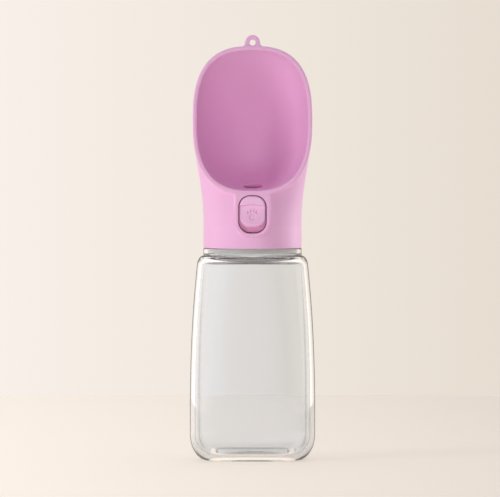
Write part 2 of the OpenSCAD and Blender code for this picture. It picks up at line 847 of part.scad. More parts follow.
module plug_o_ring() color([0.16, 0.16, 0.17])
    o_ring(chamber_r - plug_ring_t / 2 - ring_sink, plug_ring_t - ring_sink,
           plug_y + plug_nose / 2);

// Silicone sleeve between the spout and the bowl's floor
module outlet_seal() color([0.93, 0.93, 0.92]) {
    bore = outlet_d / 2;
    neck = spout_r + seal_neck_t - run_clear;
    sleeve = spout_r + run_clear;
    lip = spout_r + seal_lip_w;
    stop_z = spout_top_z + groove_gap;
    translate([0, outlet_y, 0])
        rotate_extrude()
        polygon([[bore, sump_z + lip_t], [bore, stop_z],
                 [sleeve, stop_z], [sleeve, spout_top_z - seal_grip],
                 [sleeve + seal_wall, spout_top_z - seal_grip],
                 [sleeve + seal_wall, boss_low_z - lip_t],
                 [lip, boss_low_z - lip_t], [lip, boss_low_z],
                 [neck, boss_low_z], [neck, sump_z], [lip, sump_z],
                 [lip, sump_z + lip_t - tail_step],
                 [lip - tail_step, sump_z + lip_t]]);
}

/* Button */

module carrier_outline(g) {
    translate([0, carrier_low_z + carrier_h / 2])
        polygon(rounded_points(carrier_w + 2 * g, carrier_h + 2 * g,
                               window_r - slide_clear + g));
}

module button_carrier() color([0.93, 0.68, 0.84]) {
    slot_w = leg_t + 2 * slide_clear;
    slot_h = leg_h + lock_travel + 2 * slide_clear;
    face_end_y = carrier_y + carrier_face_t;
    difference() {
        union() {
            difference() {
                union() {
                    push_y(carrier_y, flange_y + flange_t)
                        carrier_outline(0);
                    push_y(flange_y, flange_y + flange_t)
                        translate([0, carrier_low_z + carrier_h / 2])
                        square([carrier_w + 2 * flange_lip, carrier_h], center = true);
                }
                push_y(face_end_y, flange_y + flange_t + CUT)
                    carrier_outline(-carrier_wall);
            }
            bar_y(hub_r, face_end_y - HAIR, hub_end_y);
        }
        bar_y(stem_r + run_clear, stem_front_y, hub_end_y + CUT);
        bar_y(screw_r + run_clear, carrier_y - CUT, stem_front_y + CUT);
        bar_y(screw_head_r + seat_clear, carrier_y - CUT, carrier_y + screw_sink);
        // slots for the button's legs
        for (side = [-1, 1])
            push_y(carrier_y - CUT, face_end_y + CUT)
                translate([side * (leg_x + leg_t / 2) - slot_w / 2,
                           leg_mid_z() + leg_h / 2 + slide_clear - slot_h])
                square([slot_w, slot_h]);
    }
}

// Height of the middle of the button's legs
function leg_mid_z() = button_mid_z + leg_up;

module carrier_screw() color([0.72, 0.73, 0.75]) {
    seat = carrier_y + screw_sink;
    difference() {
        union() {
            bar_y(screw_head_r, seat - screw_head_t, seat);
            bar_y(screw_r, seat - HAIR, stem_front_y + screw_reach);
        }
        for (turn = [0, 90])
            translate([0, seat - screw_head_t, valve_z])
                rotate([0, turn, 0])
                cube([cross_w, screw_head_t, cross_t], center = true);
    }
}

// Height of the thumb pad's deepest line
function scoop_low() = button_mid_z + button_h / 2 - band_h - band_gap;

// Radius of the thumb pad's hollow
function scoop_r() =
    let (reach = scoop_low() - (button_mid_z - button_h / 2) - lip_gap)
    (reach * reach + scoop_depth * scoop_depth) / (2 * scoop_depth);

// Depth of the thumb pad's surface at height z
function pad_y(z) =
    button_y - button_t + scoop_depth - scoop_r()
    + sqrt(pow(scoop_r(), 2) - pow(z - scoop_low(), 2));

// Outline of the button at the share s of its thickness, 0 at the front
function cap_ring(s) =
    let (front = 1 - s,
         low = button_mid_z - button_h / 2 + lip_draft * pow(front, draft_curve),
         high = button_mid_z + button_h / 2 - side_draft * front,
         points = rounded_points(button_w - 2 * side_draft * front, high - low,
                                 button_r))
    [for (p = points)
        [-p.x, button_y - button_t * front, (low + high) / 2 + p.y]];

module button_cap() color([0.98, 0.78, 0.91]) {
    r = scoop_r();
    levels = 4;
    step_z = button_mid_z + button_h / 2 - band_h;
    catch_y = carrier_y + carrier_face_t + barb_gap;
    paw_z = button_mid_z - paw_drop;
    // generic paw: [x, height over the pad, radius]
    toes = [[-2.75, 3, 0.75], [-1, 4.35, 0.8], [1, 4.35, 0.8], [2.75, 3, 0.75]];
    difference() {
        loft([for (i = [0:levels]) cap_ring(i / levels)]);
        intersection() {
            translate([-button_w, button_y - button_t + scoop_depth - r, scoop_low()])
                rotate([0, 90, 0])
                cylinder(h = 2 * button_w, r = r, $fn = 128);
            translate([-button_w, button_y - button_h, step_z - button_h])
                cube([2 * button_w, button_h, button_h]);
        }
        translate([0, pad_y(paw_z) + paw_relief, paw_z])
            rotate([90, 0, 0])
            cylinder(h = button_t, r = paw_r, $fn = 32);
        for (toe = toes)
            translate([toe.x, pad_y(paw_z + toe.y) + paw_relief, paw_z + toe.y])
                rotate([90, 0, 0])
                cylinder(h = button_t, r = toe[2], $fn = 24);
    }
    // legs that snap behind the carrier's face
    for (side = [-1, 1])
        push_y(button_y - CUT, catch_y + barb_t)
            translate([side * (leg_x + leg_t / 2) - leg_t / 2, leg_mid_z() - leg_h / 2])
            square([leg_t, leg_h]);
    for (side = [-1, 1])
        push_y(catch_y, catch_y + barb_t)
            translate([side * (leg_x + leg_t / 2 + barb / 2) - leg_t / 2,
                       leg_mid_z() - leg_h / 2])
            square([leg_t + barb / 2, leg_h]);
}

bottle();
neck_gasket();
bowl_head();
inner_cap();
vent_valve();
foot_gasket();
valve_body();
valve_screws();
valve_stem();
stem_o_ring();
poppet_seal();
poppet_clip();
valve_spring();
spring_plug();
plug_o_ring();
outlet_seal();
button_carrier();
carrier_screw();
button_cap();
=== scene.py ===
"""Looks of a dog travel water bottle: a clear bottle, a pink drinking scoop with its thumb
button, and the valve inside. Lengths in the code are millimetres unless a name says
otherwise. Z is up, the scoop faces -Y and Z = 0 is the table."""

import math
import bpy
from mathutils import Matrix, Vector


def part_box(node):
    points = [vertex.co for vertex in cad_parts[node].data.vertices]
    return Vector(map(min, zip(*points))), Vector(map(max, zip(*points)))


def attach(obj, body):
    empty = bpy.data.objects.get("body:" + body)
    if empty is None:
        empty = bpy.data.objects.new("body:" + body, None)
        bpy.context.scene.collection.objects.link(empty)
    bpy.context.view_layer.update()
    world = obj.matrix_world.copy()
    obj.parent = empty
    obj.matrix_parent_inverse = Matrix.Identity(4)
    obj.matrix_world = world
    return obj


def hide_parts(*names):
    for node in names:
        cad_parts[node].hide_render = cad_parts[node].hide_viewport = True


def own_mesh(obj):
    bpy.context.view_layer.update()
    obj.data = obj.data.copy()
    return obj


bl_info = {
    "name": "Dog Travel Water Bottle",
    "version": (1, 0, 0),
    "blender": (4, 5, 0),
    "location": "View3D > Sidebar > Travel Bottle",
    "description": "Builds a clear travel bottle with a drinking scoop and its valve",
    "category": "Object",
}

import bmesh
import bpy
import numpy as np
from mathutils import Matrix, Vector

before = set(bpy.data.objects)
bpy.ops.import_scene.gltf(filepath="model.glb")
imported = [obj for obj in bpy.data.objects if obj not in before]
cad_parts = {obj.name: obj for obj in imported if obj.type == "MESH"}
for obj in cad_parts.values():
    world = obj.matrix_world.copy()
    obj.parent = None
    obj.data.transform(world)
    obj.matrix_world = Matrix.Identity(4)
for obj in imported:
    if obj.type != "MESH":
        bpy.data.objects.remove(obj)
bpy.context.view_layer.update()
MM = 0.001


def box_mm(node):
    """Lowest and highest corner of a CAD node, in millimetres."""
    low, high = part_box(node)
    return low / MM, high / MM


# Landmarks taken from the frame
BOTTLE_LOW, BOTTLE_HIGH = box_mm("bottle")
HEAD_LOW, HEAD_HIGH = box_mm("bowl_head")
DECK_TOP_Z = box_mm("inner_cap")[1].z
BUTTON_LOW, BUTTON_HIGH = box_mm("button_cap")
SPRING_LOW, SPRING_HIGH = box_mm("valve_spring")
SCREWS_LOW, SCREWS_HIGH = box_mm("valve_screws")

# Bottle
BOTTLE_W = BOTTLE_HIGH.x - BOTTLE_LOW.x
BOTTLE_D = BOTTLE_HIGH.y - BOTTLE_LOW.y
NECK_TOP_Z = BOTTLE_HIGH.z
COLLAR_Z = HEAD_LOW.z
COLLAR_H = 5.1
SHOULDER_Z = COLLAR_Z - COLLAR_H
SHOULDER_W = 69.8
SHOULDER_D = 66.8
SHOULDER_ROUND = 5.4
SHOULDER_LAND = 0.4
FOOT_ROUND_H = 17
FOOT_ROUND_W = 11.5
FOOT_LAND = 5
FOOT_HOLLOW = 0.8
TAPER_FROM_Z = 0.23 * SHOULDER_Z
TAPER_POWER = 2.2
BODY_POWER = 4.4
TOP_POWER = 3
WELL_Z = SHOULDER_Z + 1.2
NECK_R = 25
NECK_WALL = 2.4
COLLAR_WALL = 2
CROWN_W = 3.4
CROWN_H = 3.4

# Head
HEAD_R = 31.4
HEAD_WALL = 2.6
SKIRT_BORE_R = HEAD_R - HEAD_WALL
LEDGE_R = SKIRT_BORE_R - 1.4
ROOM_Z = DECK_TOP_Z + 1.7
BEAD_Z = COLLAR_Z + 3.4
RIM_Z = COLLAR_Z + 34.7
BOWL_H = 94.6
RIM_TOP_Z = RIM_Z + BOWL_H
BOWL_R = 38.1
BOWL_WALL = 2.8
BOWL_DEPTH = 50
DEEP_Z = RIM_Z + 22
RIM_POWER = 2.65
RIM_LEAN = math.radians(5)
SKIN_POWER, SKIN_POWER_ABOVE, SKIN_POWER_BELOW = 2.3, -0.85, 0.6
BEZEL_PROUD = 1.8
FRONT_Y = -(HEAD_R + BEZEL_PROUD)
CHEEK_FROM_Z = COLLAR_Z + 14.5
CHEEK_TO_Z = RIM_Z + 45.8
CHEEK_MIDDLE_Y = -22
CHEEK_BACK = 13.7
ROOM_TOP_Z = RIM_Z + 15

# Window, button and lanyard eye
WINDOW_W, WINDOW_H, WINDOW_R = 18, 24.2, 7.6
WINDOW_Z = COLLAR_Z + 10.1 + WINDOW_H / 2
BEZEL_W = 2.4
GUIDE_FRONT_Y, GUIDE_REAR_Y = -28.66, -25.6
OUTLET_Y = -4
SUMP_R = 6
OUTLET_BOSS_R = 7.4
OUTLET_BORE_R = 4
BOSS_LOW_Z = WINDOW_Z + 11.6
SUMP_Z = RIM_Z + 3.8
EYE_R = 4.8
EYE_HOLE_R = 2
EYE_Z = HEAD_HIGH.z - EYE_R
EYE_T = 4
EYE_ROOT_W, EYE_ROOT_Z = 9, 254
EYE_FLARE_H = 9


# ---------------------------------------------------------------- sizes and colours


def length_setting(name, description, default):
    """A length that a user may change, in metres."""
    return bpy.props.FloatProperty(
        name=name, description=description, default=default, unit="LENGTH"
    )


def power_setting(name, description, default):
    """A lamp's power, in watts."""
    return bpy.props.FloatProperty(
        name=name, description=description, default=default, unit="POWER"
    )


def colour_setting(name, description, default):
    """A colour that a user may change."""
    return bpy.props.FloatVectorProperty(
        name=name, description=description, default=default, subtype="COLOR"
    )


class BottleSizes(bpy.types.PropertyGroup):
    """Sizes of the clear bottle."""

    wall: length_setting("Wall", "Wall of the clear bottle", 0.0026)
    floor: length_setting("Floor", "Thickness of its floor", 0.0032)
    lip_round: length_setting("Lip rounding", "Rounding of the lips", 0.0004)
    thread_lead: length_setting("Thread lead", "Climb of the screw in one turn", 0.006)
    thread_height: length_setting("Thread height", "How far a ridge stands out", 0.0009)
    thread_starts: bpy.props.IntProperty(
        name="Thread starts", description="Number of ridges side by side", default=2
    )


class ScoopSizes(bpy.types.PropertyGroup):
    """Sizes of the pink head with its drinking scoop."""

    rim_lean: bpy.props.FloatProperty(
        name="Rim lean", description="Backward lean of the scoop's rim",
        default=RIM_LEAN, subtype="ANGLE",
    )
    rim_round: length_setting("Rim rounding", "Rounding of the rim's edges", 0.0011)
    neck_blend: length_setting("Neck blend", "Softness of the joint of neck and scoop", 0.009)


class ButtonSizes(bpy.types.PropertyGroup):
    """Sizes of the thumb button."""

    pad_depth: length_setting("Pad depth", "Depth of the scooped thumb pad", 0.0019)
    band_height: length_setting("Band height", "Height of the band over the pad", 0.0054)
    lip_draft: length_setting("Lip draft", "How far the lower lip slopes in", 0.0021)
    paw_depth: length_setting("Paw depth", "Depth of the engraved paw", 0.00055)


class Finishes(bpy.types.PropertyGroup):
    """Colours of the finishes."""

    shell: colour_setting("Shell", "Colour of the pink head", (0.89, 0.50, 0.785))
    button: colour_setting("Button", "Colour of the thumb button", (0.92, 0.53, 0.82))
    # painted shade: the carrier's pink is darker than the button's, as the shaded recess behind
    # the window looks
    carrier: colour_setting("Carrier", "Colour of the button's carrier", (0.74, 0.30, 0.53))
    # painted shade: the sleeve's pink is darker than the shell's, as the shaded bottom of the
    # bowl looks
    outlet: colour_setting(
        "Outlet", "Colour of the sleeve in the bowl's outlet", (0.66, 0.28, 0.50)
    )
    clear: colour_setting("Clear plastic", "Tint of the clear bottle", (0.90, 0.926, 0.958))
    inner: colour_setting("Inner plastic", "Colour of the inner parts", (0.82, 0.82, 0.81))
    silicone: colour_setting("Silicone", "Colour of the silicone seals", (0.78, 0.78, 0.75))


class StageLook(bpy.types.PropertyGroup):
    """Colours and lamps of the plain stage."""

    floor: colour_setting("Floor", "Colour of the floor", (0.84, 0.77, 0.70))
    # painted shade: the background goes from a lighter colour at the left to a darker one at the
    # right
    wall_left: colour_setting(
        "Background left", "Colour behind the floor at the left", (0.945, 0.875, 0.815)
    )
    wall_right: colour_setting(
        "Background right", "Colour behind the floor at the right", (0.80, 0.725, 0.64)
    )
    room: bpy.props.FloatProperty(
        name="Room light", description="Strength of the light from all round", default=0.15
    )
    band: bpy.props.FloatProperty(
        name="Side brightness", default=1.6,
        description="Brightness of the sides of the room, as mirrored in the pieces",
    )
    key: power_setting("Key lamp", "Power of the lamp at the left", 12)
    fill: power_setting("Fill lamp", "Power of the low lamp in front", 8.5)
    edge: power_setting("Edge lamps", "Power that both lamps at the sides go by", 8)
    top: power_setting("Top lamp", "Power of the lamp above", 20)
    frame_width: length_setting("Frame width", "Width seen at the bottle", 0.32)


# ---------------------------------------------------------------- mesh helpers


def add_mesh(name, points, faces, smooth=True):
    """A new mesh object from points in millimetres."""
    mesh = bpy.data.meshes.new(name)
    mesh.from_pydata((np.asarray(points) * MM).tolist(), [], [list(f) for f in faces])
    mesh.validate()
    if smooth:
        mesh.shade_smooth()
    piece = bpy.data.objects.new(name, mesh)
    bpy.context.scene.collection.objects.link(piece)
    return piece


def finish_piece(piece, material, body, slot, *nodes):
    """Gives a piece its material and its body, puts pink pieces with their own lamps and hides
    the CAD nodes it stands for.
    """
    piece.data.materials.clear()
    piece.data.materials.append(material)
    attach(piece, body)
    if slot.startswith("pink"):
        bpy.data.collections["pink_pieces"].objects.link(piece)
    if nodes:
        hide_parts(*nodes)
    return piece


def to_plain_mesh(piece):
    """Turns a piece's modifiers into plain mesh and removes them."""
    graph = bpy.context.evaluated_depsgraph_get()
    mesh = bpy.data.meshes.new_from_object(piece.evaluated_get(graph))
    mesh.name = piece.name
    piece.modifiers.clear()
    piece.data = mesh
    return piece


def softened_copy(node, name, edge=0.15, angle=28):
    """A copy of a CAD node with its facets merged and its edges rounded."""
    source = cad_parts[node]
    mesh = bpy.data.meshes.new(name)
    form = bmesh.new()
    form.from_mesh(source.data)
    bmesh.ops.remove_doubles(form, verts=form.verts, dist=0.002 * MM)
    bmesh.ops.dissolve_degenerate(form, edges=form.edges, dist=0.002 * MM)
    bmesh.ops.dissolve_limit(
        form, angle_limit=math.radians(0.5), verts=form.verts, edges=form.edges
    )
    form.to_mesh(mesh)
    form.free()
    piece = bpy.data.objects.new(name, mesh)
    bpy.context.scene.collection.objects.link(piece)
    mesh.shade_smooth()
    rounding = piece.modifiers.new("edge_rounding", "BEVEL")
    rounding.width = edge * MM
    rounding.segments = 2
    rounding.limit_method = "ANGLE"
    rounding.angle_limit = math.radians(angle)
    rounding.harden_normals = True
    rounding.miter_outer = "MITER_ARC"
    corners = piece.modifiers.new("triangles", "TRIANGULATE")
    corners.keep_custom_normals = True
    return to_plain_mesh(piece)


def signed_power(value, power):
    """The size of a value raised to a power, with the value's sign."""
    return np.sign(value) * np.abs(value) ** power


def outline(half_x, half_y, power, count):
    """Evenly spaced points of a rounded four-sided outline, from +X round by +Y."""
    t = np.linspace(0, 2 * np.pi, 4 * 1024 + 1)
    c, s = np.cos(t), np.sin(t)
    x, y = half_x * signed_power(c, 2 / power), half_y * signed_power(s, 2 / power)
    run = np.concatenate([[0], np.cumsum(np.hypot(np.diff(x), np.diff(y)))])
    at = np.linspace(0, run[-1], count, endpoint=False)
    return np.stack([np.interp(at, run, x), np.interp(at, run, y)], 1)


def arc_left(share, power=2.0):
    """Share of a quarter arc that is left at a share of its run."""
    return (1 - np.clip(share, 0, 1) ** power) ** (1 / power)


def ease(t):
    """Smooth step from 0 to 1."""
    u = np.clip(t, 0, 1)
    return u * u * (3 - 2 * u)


def lofted(name, stations, count=192):
    """Closed skin through stations of (z, half x, half y, power). Both ends are poles."""
    rings = []
    for z, half_x, half_y, power in stations[1:-1]:
        ring = outline(half_x, half_y, power, count)
        rings.append(np.column_stack([ring, np.full(count, z)]))
    points = np.vstack([[[0, 0, stations[0][0]]], *rings, [[0, 0, stations[-1][0]]]])
    faces = []
    for k in range(len(rings) - 1):
        a = 1 + k * count
        for i in range(count):
            j = (i + 1) % count
            faces.append((a + i, a + j, a + count + j, a + count + i))
    last = 1 + (len(rings) - 1) * count
    for i in range(count):
        j = (i + 1) % count
        faces.append((0, 1 + j, 1 + i))
        faces.append((len(points) - 1, last + i, last + j))
    return add_mesh(name, points, faces)


# ---------------------------------------------------------------- moulded forms
# A moulding is described by a field: a function that is negative inside it and roughly
# the distance to its surface. Fields are joined and cut with soft edges, as a mould's
# fillets are, and moulded() turns the result into a closed mesh.


def soft_union(a, b, k):
    """Union of two fields with a fillet of about the size k."""
    h = np.clip(0.5 + 0.5 * (b - a) / k, 0, 1)
    return b + (a - b) * h - k * h * (1 - h)


def soft_common(a, b, k):
    """Common part of two fields, its edges rounded by about k."""
    return -soft_union(-a, -b, k)


def soft_cut(a, b, k):
    """The field a less the field b, its edges rounded by about k."""
    return -soft_union(-a, b, k)


def rounded_box(u, v, half_u, half_v, radius):
    """Distance to a rounded rectangle about the origin."""
    a, b = np.abs(u) - (half_u - radius), np.abs(v) - (half_v - radius)
    outside = np.hypot(np.maximum(a, 0), np.maximum(b, 0))
    return outside + np.minimum(np.maximum(a, b), 0) - radius


def between(t, low, high):
    """Distance to the slab from low to high."""
    return np.maximum(low - t, t - high)


def ruler(*spans):
    """Grid marks through spans of (from, to, step)."""
    marks = [np.linspace(a, b, max(2, round((b - a) / step) + 1)) for a, b, step in spans]
    return np.unique(np.concatenate(marks).round(6))


def net_over(field, rulers):
    """Quads of the surface where a field is zero, one point in each cell it crosses."""
    xs, ys, zs = rulers
    value = field(xs[:, None, None], ys[None, :, None], zs[None, None, :])
    solid = value < 0
    cells = np.array(value.shape) - 1
    total = np.zeros((cells.prod(), 3))
    hits = np.zeros(cells.prod())
    quads = []
    for axis in range(3):
        low = tuple(slice(0, -1) if k == axis else slice(None) for k in range(3))
        high = tuple(slice(1, None) if k == axis else slice(None) for k in range(3))
        crossed = solid[low] != solid[high]
        at = np.argwhere(crossed)
        before, after = value[low][crossed], value[high][crossed]
        point = np.stack([rulers[k][at[:, k]] for k in range(3)], 1)
        step = rulers[axis][at[:, axis] + 1] - rulers[axis][at[:, axis]]
        point[:, axis] += step * before / (before - after)
        side_a, side_b = (axis + 1) % 3, (axis + 2) % 3
        corners = []
        for a, b in ((-1, -1), (0, -1), (0, 0), (-1, 0)):
            cell = at.copy()
            cell[:, side_a] += a
            cell[:, side_b] += b
            ids = np.ravel_multi_index(cell.T, cells)
            for k in range(3):
                total[:, k] += np.bincount(ids, point[:, k], len(total))
            hits += np.bincount(ids, minlength=len(hits))
            corners.append(ids)
        quad = np.stack(corners, 1)
        quads.append(np.where((before > 0)[:, None], quad[:, ::-1], quad))
    used = np.flatnonzero(hits)
    index = np.zeros(len(hits), int)
    index[used] = np.arange(len(used))
    return total[used] / hits[used, None], index[np.vstack(quads)]


def evened(points, quads):
    """Points moved half way to the mean of their neighbours."""
    edges = np.vstack([quads[:, [0, 1]], quads[:, [1, 2]], quads[:, [2, 3]], quads[:, [3, 0]]])
    count = np.bincount(edges[:, 0], minlength=len(points))
    mean = np.stack(
        [np.bincount(edges[:, 0], points[edges[:, 1], k], len(points)) for k in range(3)], 1
    )
    return 0.5 * points + 0.5 * mean / np.maximum(count, 1)[:, None]


def slope_of(points, field, reach=0.02):
    """Gradient of a field at points."""
    parts = []
    for axis in range(3):
        ahead, behind = points.T.copy(), points.T.copy()
        ahead[axis] += reach
        behind[axis] -= reach
        parts.append((field(*ahead) - field(*behind)) / (2 * reach))
    return np.stack(parts, 1)


def settled(points, field, most=0.3):
    """Points moved along the field's slope onto its surface."""
    slope = slope_of(points, field)
    far = field(*points.T) / np.maximum((slope**2).sum(1), 1e-6)
    step = far[:, None] * slope
    size = np.linalg.norm(step, axis=1)
    return points - step * np.minimum(1, most / np.maximum(size, 1e-9))[:, None]


def moulded(name, field, *rulers):
    """A closed mesh of a moulding, its points settled on the true surface."""
    points, quads = net_over(field, rulers)
    for _ in range(3):
        points = settled(evened(points, quads), field)
    points = settled(points, field)
    piece = add_mesh(name, points, quads)
    slope = slope_of(points, field)
    normals = slope / np.maximum(np.linalg.norm(slope, axis=1), 1e-9)[:, None]
    if len(piece.data.vertices) == len(points):
        piece.data.normals_split_custom_set_from_vertices(normals.tolist())
    return piece


# ---------------------------------------------------------------- node helpers


def new_material(name):
    """An empty node material and its tree."""
    material = bpy.data.materials.new(name)
    material.use_nodes = True
    material.node_tree.nodes.clear()
    return material, material.node_tree


def add_node(tree, kind, links=(), **values):
    """A node with its properties set and its inputs linked or filled."""
    node = tree.nodes.new(kind)
    for key, value in values.items():
        setattr(node, key, value)
    for socket, value in dict(links).items():
        if isinstance(value, bpy.types.NodeSocket):
            tree.links.new(value, node.inputs[socket])
        else:
            node.inputs[socket].default_value = value
    return node


def noise_at(tree, scale, detail=2.0, roughness=0.5, stretch=(1, 1, 1)):
    """Noise on the piece's own Object coordinates. scale is per metre."""
    place = add_node(tree, "ShaderNodeTexCoord").outputs["Object"]
    scaled = add_node(tree, "ShaderNodeMapping", {"Vector": place, "Scale": stretch})
    return add_node(tree, "ShaderNodeTexNoise", {
        "Vector": scaled.outputs["Vector"], "Scale": scale, "Detail": detail,
        "Roughness": roughness,
    }).outputs["Fac"]


def ranged(tree, value, low, high, from_low=0.3, from_high=0.7):
    """A value mapped to a new range."""
    return add_node(tree, "ShaderNodeMapRange", {
        "Value": value, "From Min": from_low, "From Max": from_high, "To Min": low,
        "To Max": high,
    }).outputs["Result"]


def maths(tree, operation, first, second):
    """Result of one operation on two values."""
    return add_node(
        tree, "ShaderNodeMath", {0: first, 1: second}, operation=operation
    ).outputs[0]


def two_colours(tree, factor, first, second):
    """A colour between two, by a factor. Sockets 6, 7 and 2 are those of a colour mix."""
    inputs = {"Factor": factor, 6: (*first, 1), 7: (*second, 1)}
    return add_node(tree, "ShaderNodeMix", inputs, data_type="RGBA").outputs[2]


def two_shaders(tree, factor, first, second):
    """A shader between two, by a factor."""
    return add_node(
        tree, "ShaderNodeMixShader", {0: factor, 1: first, 2: second}
    ).outputs[0]


def bumped(tree, height, distance, **more):
    """Normals from a height, its distance in metres."""
    inputs = {"Height": height, "Distance": distance, "Strength": 1.0, **more}
    return add_node(tree, "ShaderNodeBump", inputs).outputs["Normal"]


def see_through(tree, *colour):
    """A plain transparent shader."""
    return add_node(tree, "ShaderNodeBsdfTransparent", {"Color": (*colour, 1)}).outputs["BSDF"]


def principled(tree, inputs):
    """A Principled shader."""
    return add_node(tree, "ShaderNodeBsdfPrincipled", inputs).outputs["BSDF"]


def shaded(colour, factor):
    """A colour made darker or lighter."""
    return tuple(min(1.0, c * factor) for c in colour)


def close_material(tree, shader):
    """Links a shader to the material's output."""
    add_node(tree, "ShaderNodeOutputMaterial", {"Surface": shader})


# ---------------------------------------------------------------- finishes


def moulded_plastic(name, colour, rough, grain=0.000012, coat=0.12):
    """Moulded plastic: faint flow shades, uneven gloss and a fine mould grain."""
    material, tree = new_material(name)
    flow = noise_at(tree, 26, 3)
    tone = two_colours(tree, ranged(tree, flow, 0, 1), shaded(colour, 0.975), colour)
    gloss = ranged(tree, noise_at(tree, 140, 4, 0.6), rough - 0.04, rough + 0.05)
    skin = bumped(tree, noise_at(tree, 1900, 2, 0.6), grain)
    sink = bumped(tree, noise_at(tree, 55, 1), grain * 6, Normal=skin)
    close_material(tree, principled(tree, {
        "Base Color": tone, "Roughness": gloss, "Normal": sink, "Coat Weight": coat,
        "Coat Roughness": 0.3, "Subsurface Weight": 0.12,
        "Subsurface Radius": (1.0, 0.45, 0.7), "Subsurface Scale": 0.0018, "IOR": 1.5,
    }))
    return material


def clear_plastic(name, tint):
    """Clear bottle plastic, faintly wavy, with painted shade where it is seen edge-on. Lamps
    shine through it.
    """
    material, tree = new_material(name)
    waves = bumped(tree, noise_at(tree, 34, 1, 0.4, (1, 1, 0.45)), 0.00006)
    edge_on = add_node(tree, "ShaderNodeLayerWeight", {"Blend": 0.5}).outputs["Facing"]
    glass = principled(tree, {
        "Base Color": (*tint, 1), "Roughness": 0.015, "Normal": waves,
        "Transmission Weight": 1.0, "IOR": 1.49,
    })
    # painted shade: a dark see-through layer is mixed in where the plastic is seen edge-on, to
    # draw dark outlines at its sides
    painted_edge_shade = ranged(tree, edge_on, 0, 0.95, 0.83, 0.95)
    edge_shaded = two_shaders(tree, painted_edge_shade, glass, see_through(tree, 0.3, 0.31, 0.32))
    shadow_ray = add_node(tree, "ShaderNodeLightPath").outputs["Is Shadow Ray"]
    close_material(
        tree, two_shaders(tree, shadow_ray, edge_shaded, see_through(tree, 0.6, 0.61, 0.62))
    )
    return material


def soft_silicone(name, colour):
    """Milky silicone: soft gloss, a little light inside and fine dust-like grain."""
    material, tree = new_material(name)
    cloud = ranged(tree, noise_at(tree, 60, 3), 0, 1)
    close_material(tree, principled(tree, {
        "Base Color": two_colours(tree, cloud, shaded(colour, 0.93), colour),
        "Roughness": ranged(tree, noise_at(tree, 300, 2), 0.42, 0.56),
        "Normal": bumped(tree, noise_at(tree, 1500, 3, 0.7), 0.00002),
        "Subsurface Weight": 0.5, "Subsurface Radius": (1, 0.95, 0.9),
        "Subsurface Scale": 0.0012, "IOR": 1.42,
    }))
    return material


def black_rubber(name):
    """Black ring rubber with a matt, slightly greasy skin."""
    material, tree = new_material(name)
    cloud = noise_at(tree, 400, 4)
    close_material(tree, principled(tree, {
        "Base Color": two_colours(tree, cloud, (0.012, 0.012, 0.013), (0.03, 0.03, 0.032)),
        "Roughness": ranged(tree, noise_at(tree, 700, 3), 0.45, 0.62),
        "Normal": bumped(tree, noise_at(tree, 2400, 3, 0.7), 0.00002),
    }))
    return material


def bright_steel(name):
    """Drawn stainless steel with fine lines along the wire or the turned face."""
    material, tree = new_material(name)
    lines = noise_at(tree, 900, 3, 0.6, (1, 8, 1))
    close_material(tree, principled(tree, {
        "Base Color": two_colours(tree, lines, (0.52, 0.53, 0.55), (0.68, 0.69, 0.71)),
        "Metallic": 1.0, "Roughness": ranged(tree, lines, 0.2, 0.38),
        "Normal": bumped(tree, lines, 0.00001),
    }))
    return material


def finish_named(slot):
    """The dressed material of a slot, made once."""
    name = slot + "_finish"
    if name in bpy.data.materials:
        return bpy.data.materials[name]
    colours = bpy.context.scene.bottle_finishes
    makers = {
        "pink_shell": lambda: moulded_plastic(name, colours.shell, 0.58),
        "pink_button": lambda: moulded_plastic(name, colours.button, 0.42),
        # the carrier's darker pink is painted shade of the recess behind the window
        "pink_carrier": lambda: moulded_plastic(name, colours.carrier, 0.5, 0.00003, 0.0),
        "clear_plastic": lambda: clear_plastic(name, colours.clear),
        "white_plastic": lambda: moulded_plastic(name, colours.inner, 0.42, 0.00002, 0.05),
        "valve_plastic": lambda: moulded_plastic(
            name, shaded(colours.inner, 0.93), 0.36, 0.00002, 0.05
        ),
        "silicone": lambda: soft_silicone(name, colours.silicone),
        "black_rubber": lambda: black_rubber(name),
        "steel": lambda: bright_steel(name),
    }
    return makers[slot]()


# ---------------------------------------------------------------- geometry node trees


def new_tree(name, inputs):
    """A geometry node group with a geometry output and the named inputs."""
    tree = bpy.data.node_groups.new(name, "GeometryNodeTree")
    face = tree.interface
    face.new_socket("Geometry", in_out="OUTPUT", socket_type="NodeSocketGeometry")
    face.new_socket("Geometry", in_out="INPUT", socket_type="NodeSocketGeometry")
    for label, (kind, default) in inputs.items():
        socket = face.new_socket(label, in_out="INPUT", socket_type=f"NodeSocket{kind}")
        if default is not None:
            socket.default_value = default
    return tree


def apply_tree(piece, tree, **values):
    """Runs a tree on a piece with its inputs set by identifier, and keeps the result."""
    modifier = piece.modifiers.new(tree.name, "NODES")
    modifier.node_group = tree
    for item in tree.interface.items_tree:
        if item.in_out == "INPUT" and item.name in values:
            modifier[item.identifier] = values[item.name]
    return to_plain_mesh(piece)


def end_tree(tree, copies, material, smooth=False):
    """Ends a tree with real copies in their material."""
    solid = add_node(tree, "GeometryNodeRealizeInstances", {0: copies}).outputs[0]
    if smooth:
        solid = add_node(tree, "GeometryNodeSetShadeSmooth", {0: solid}).outputs[0]
    painted = add_node(
        tree, "GeometryNodeSetMaterial", {"Geometry": solid, "Material": material}
    ).outputs[0]
    add_node(tree, "NodeGroupOutput", {0: painted})
    return tree


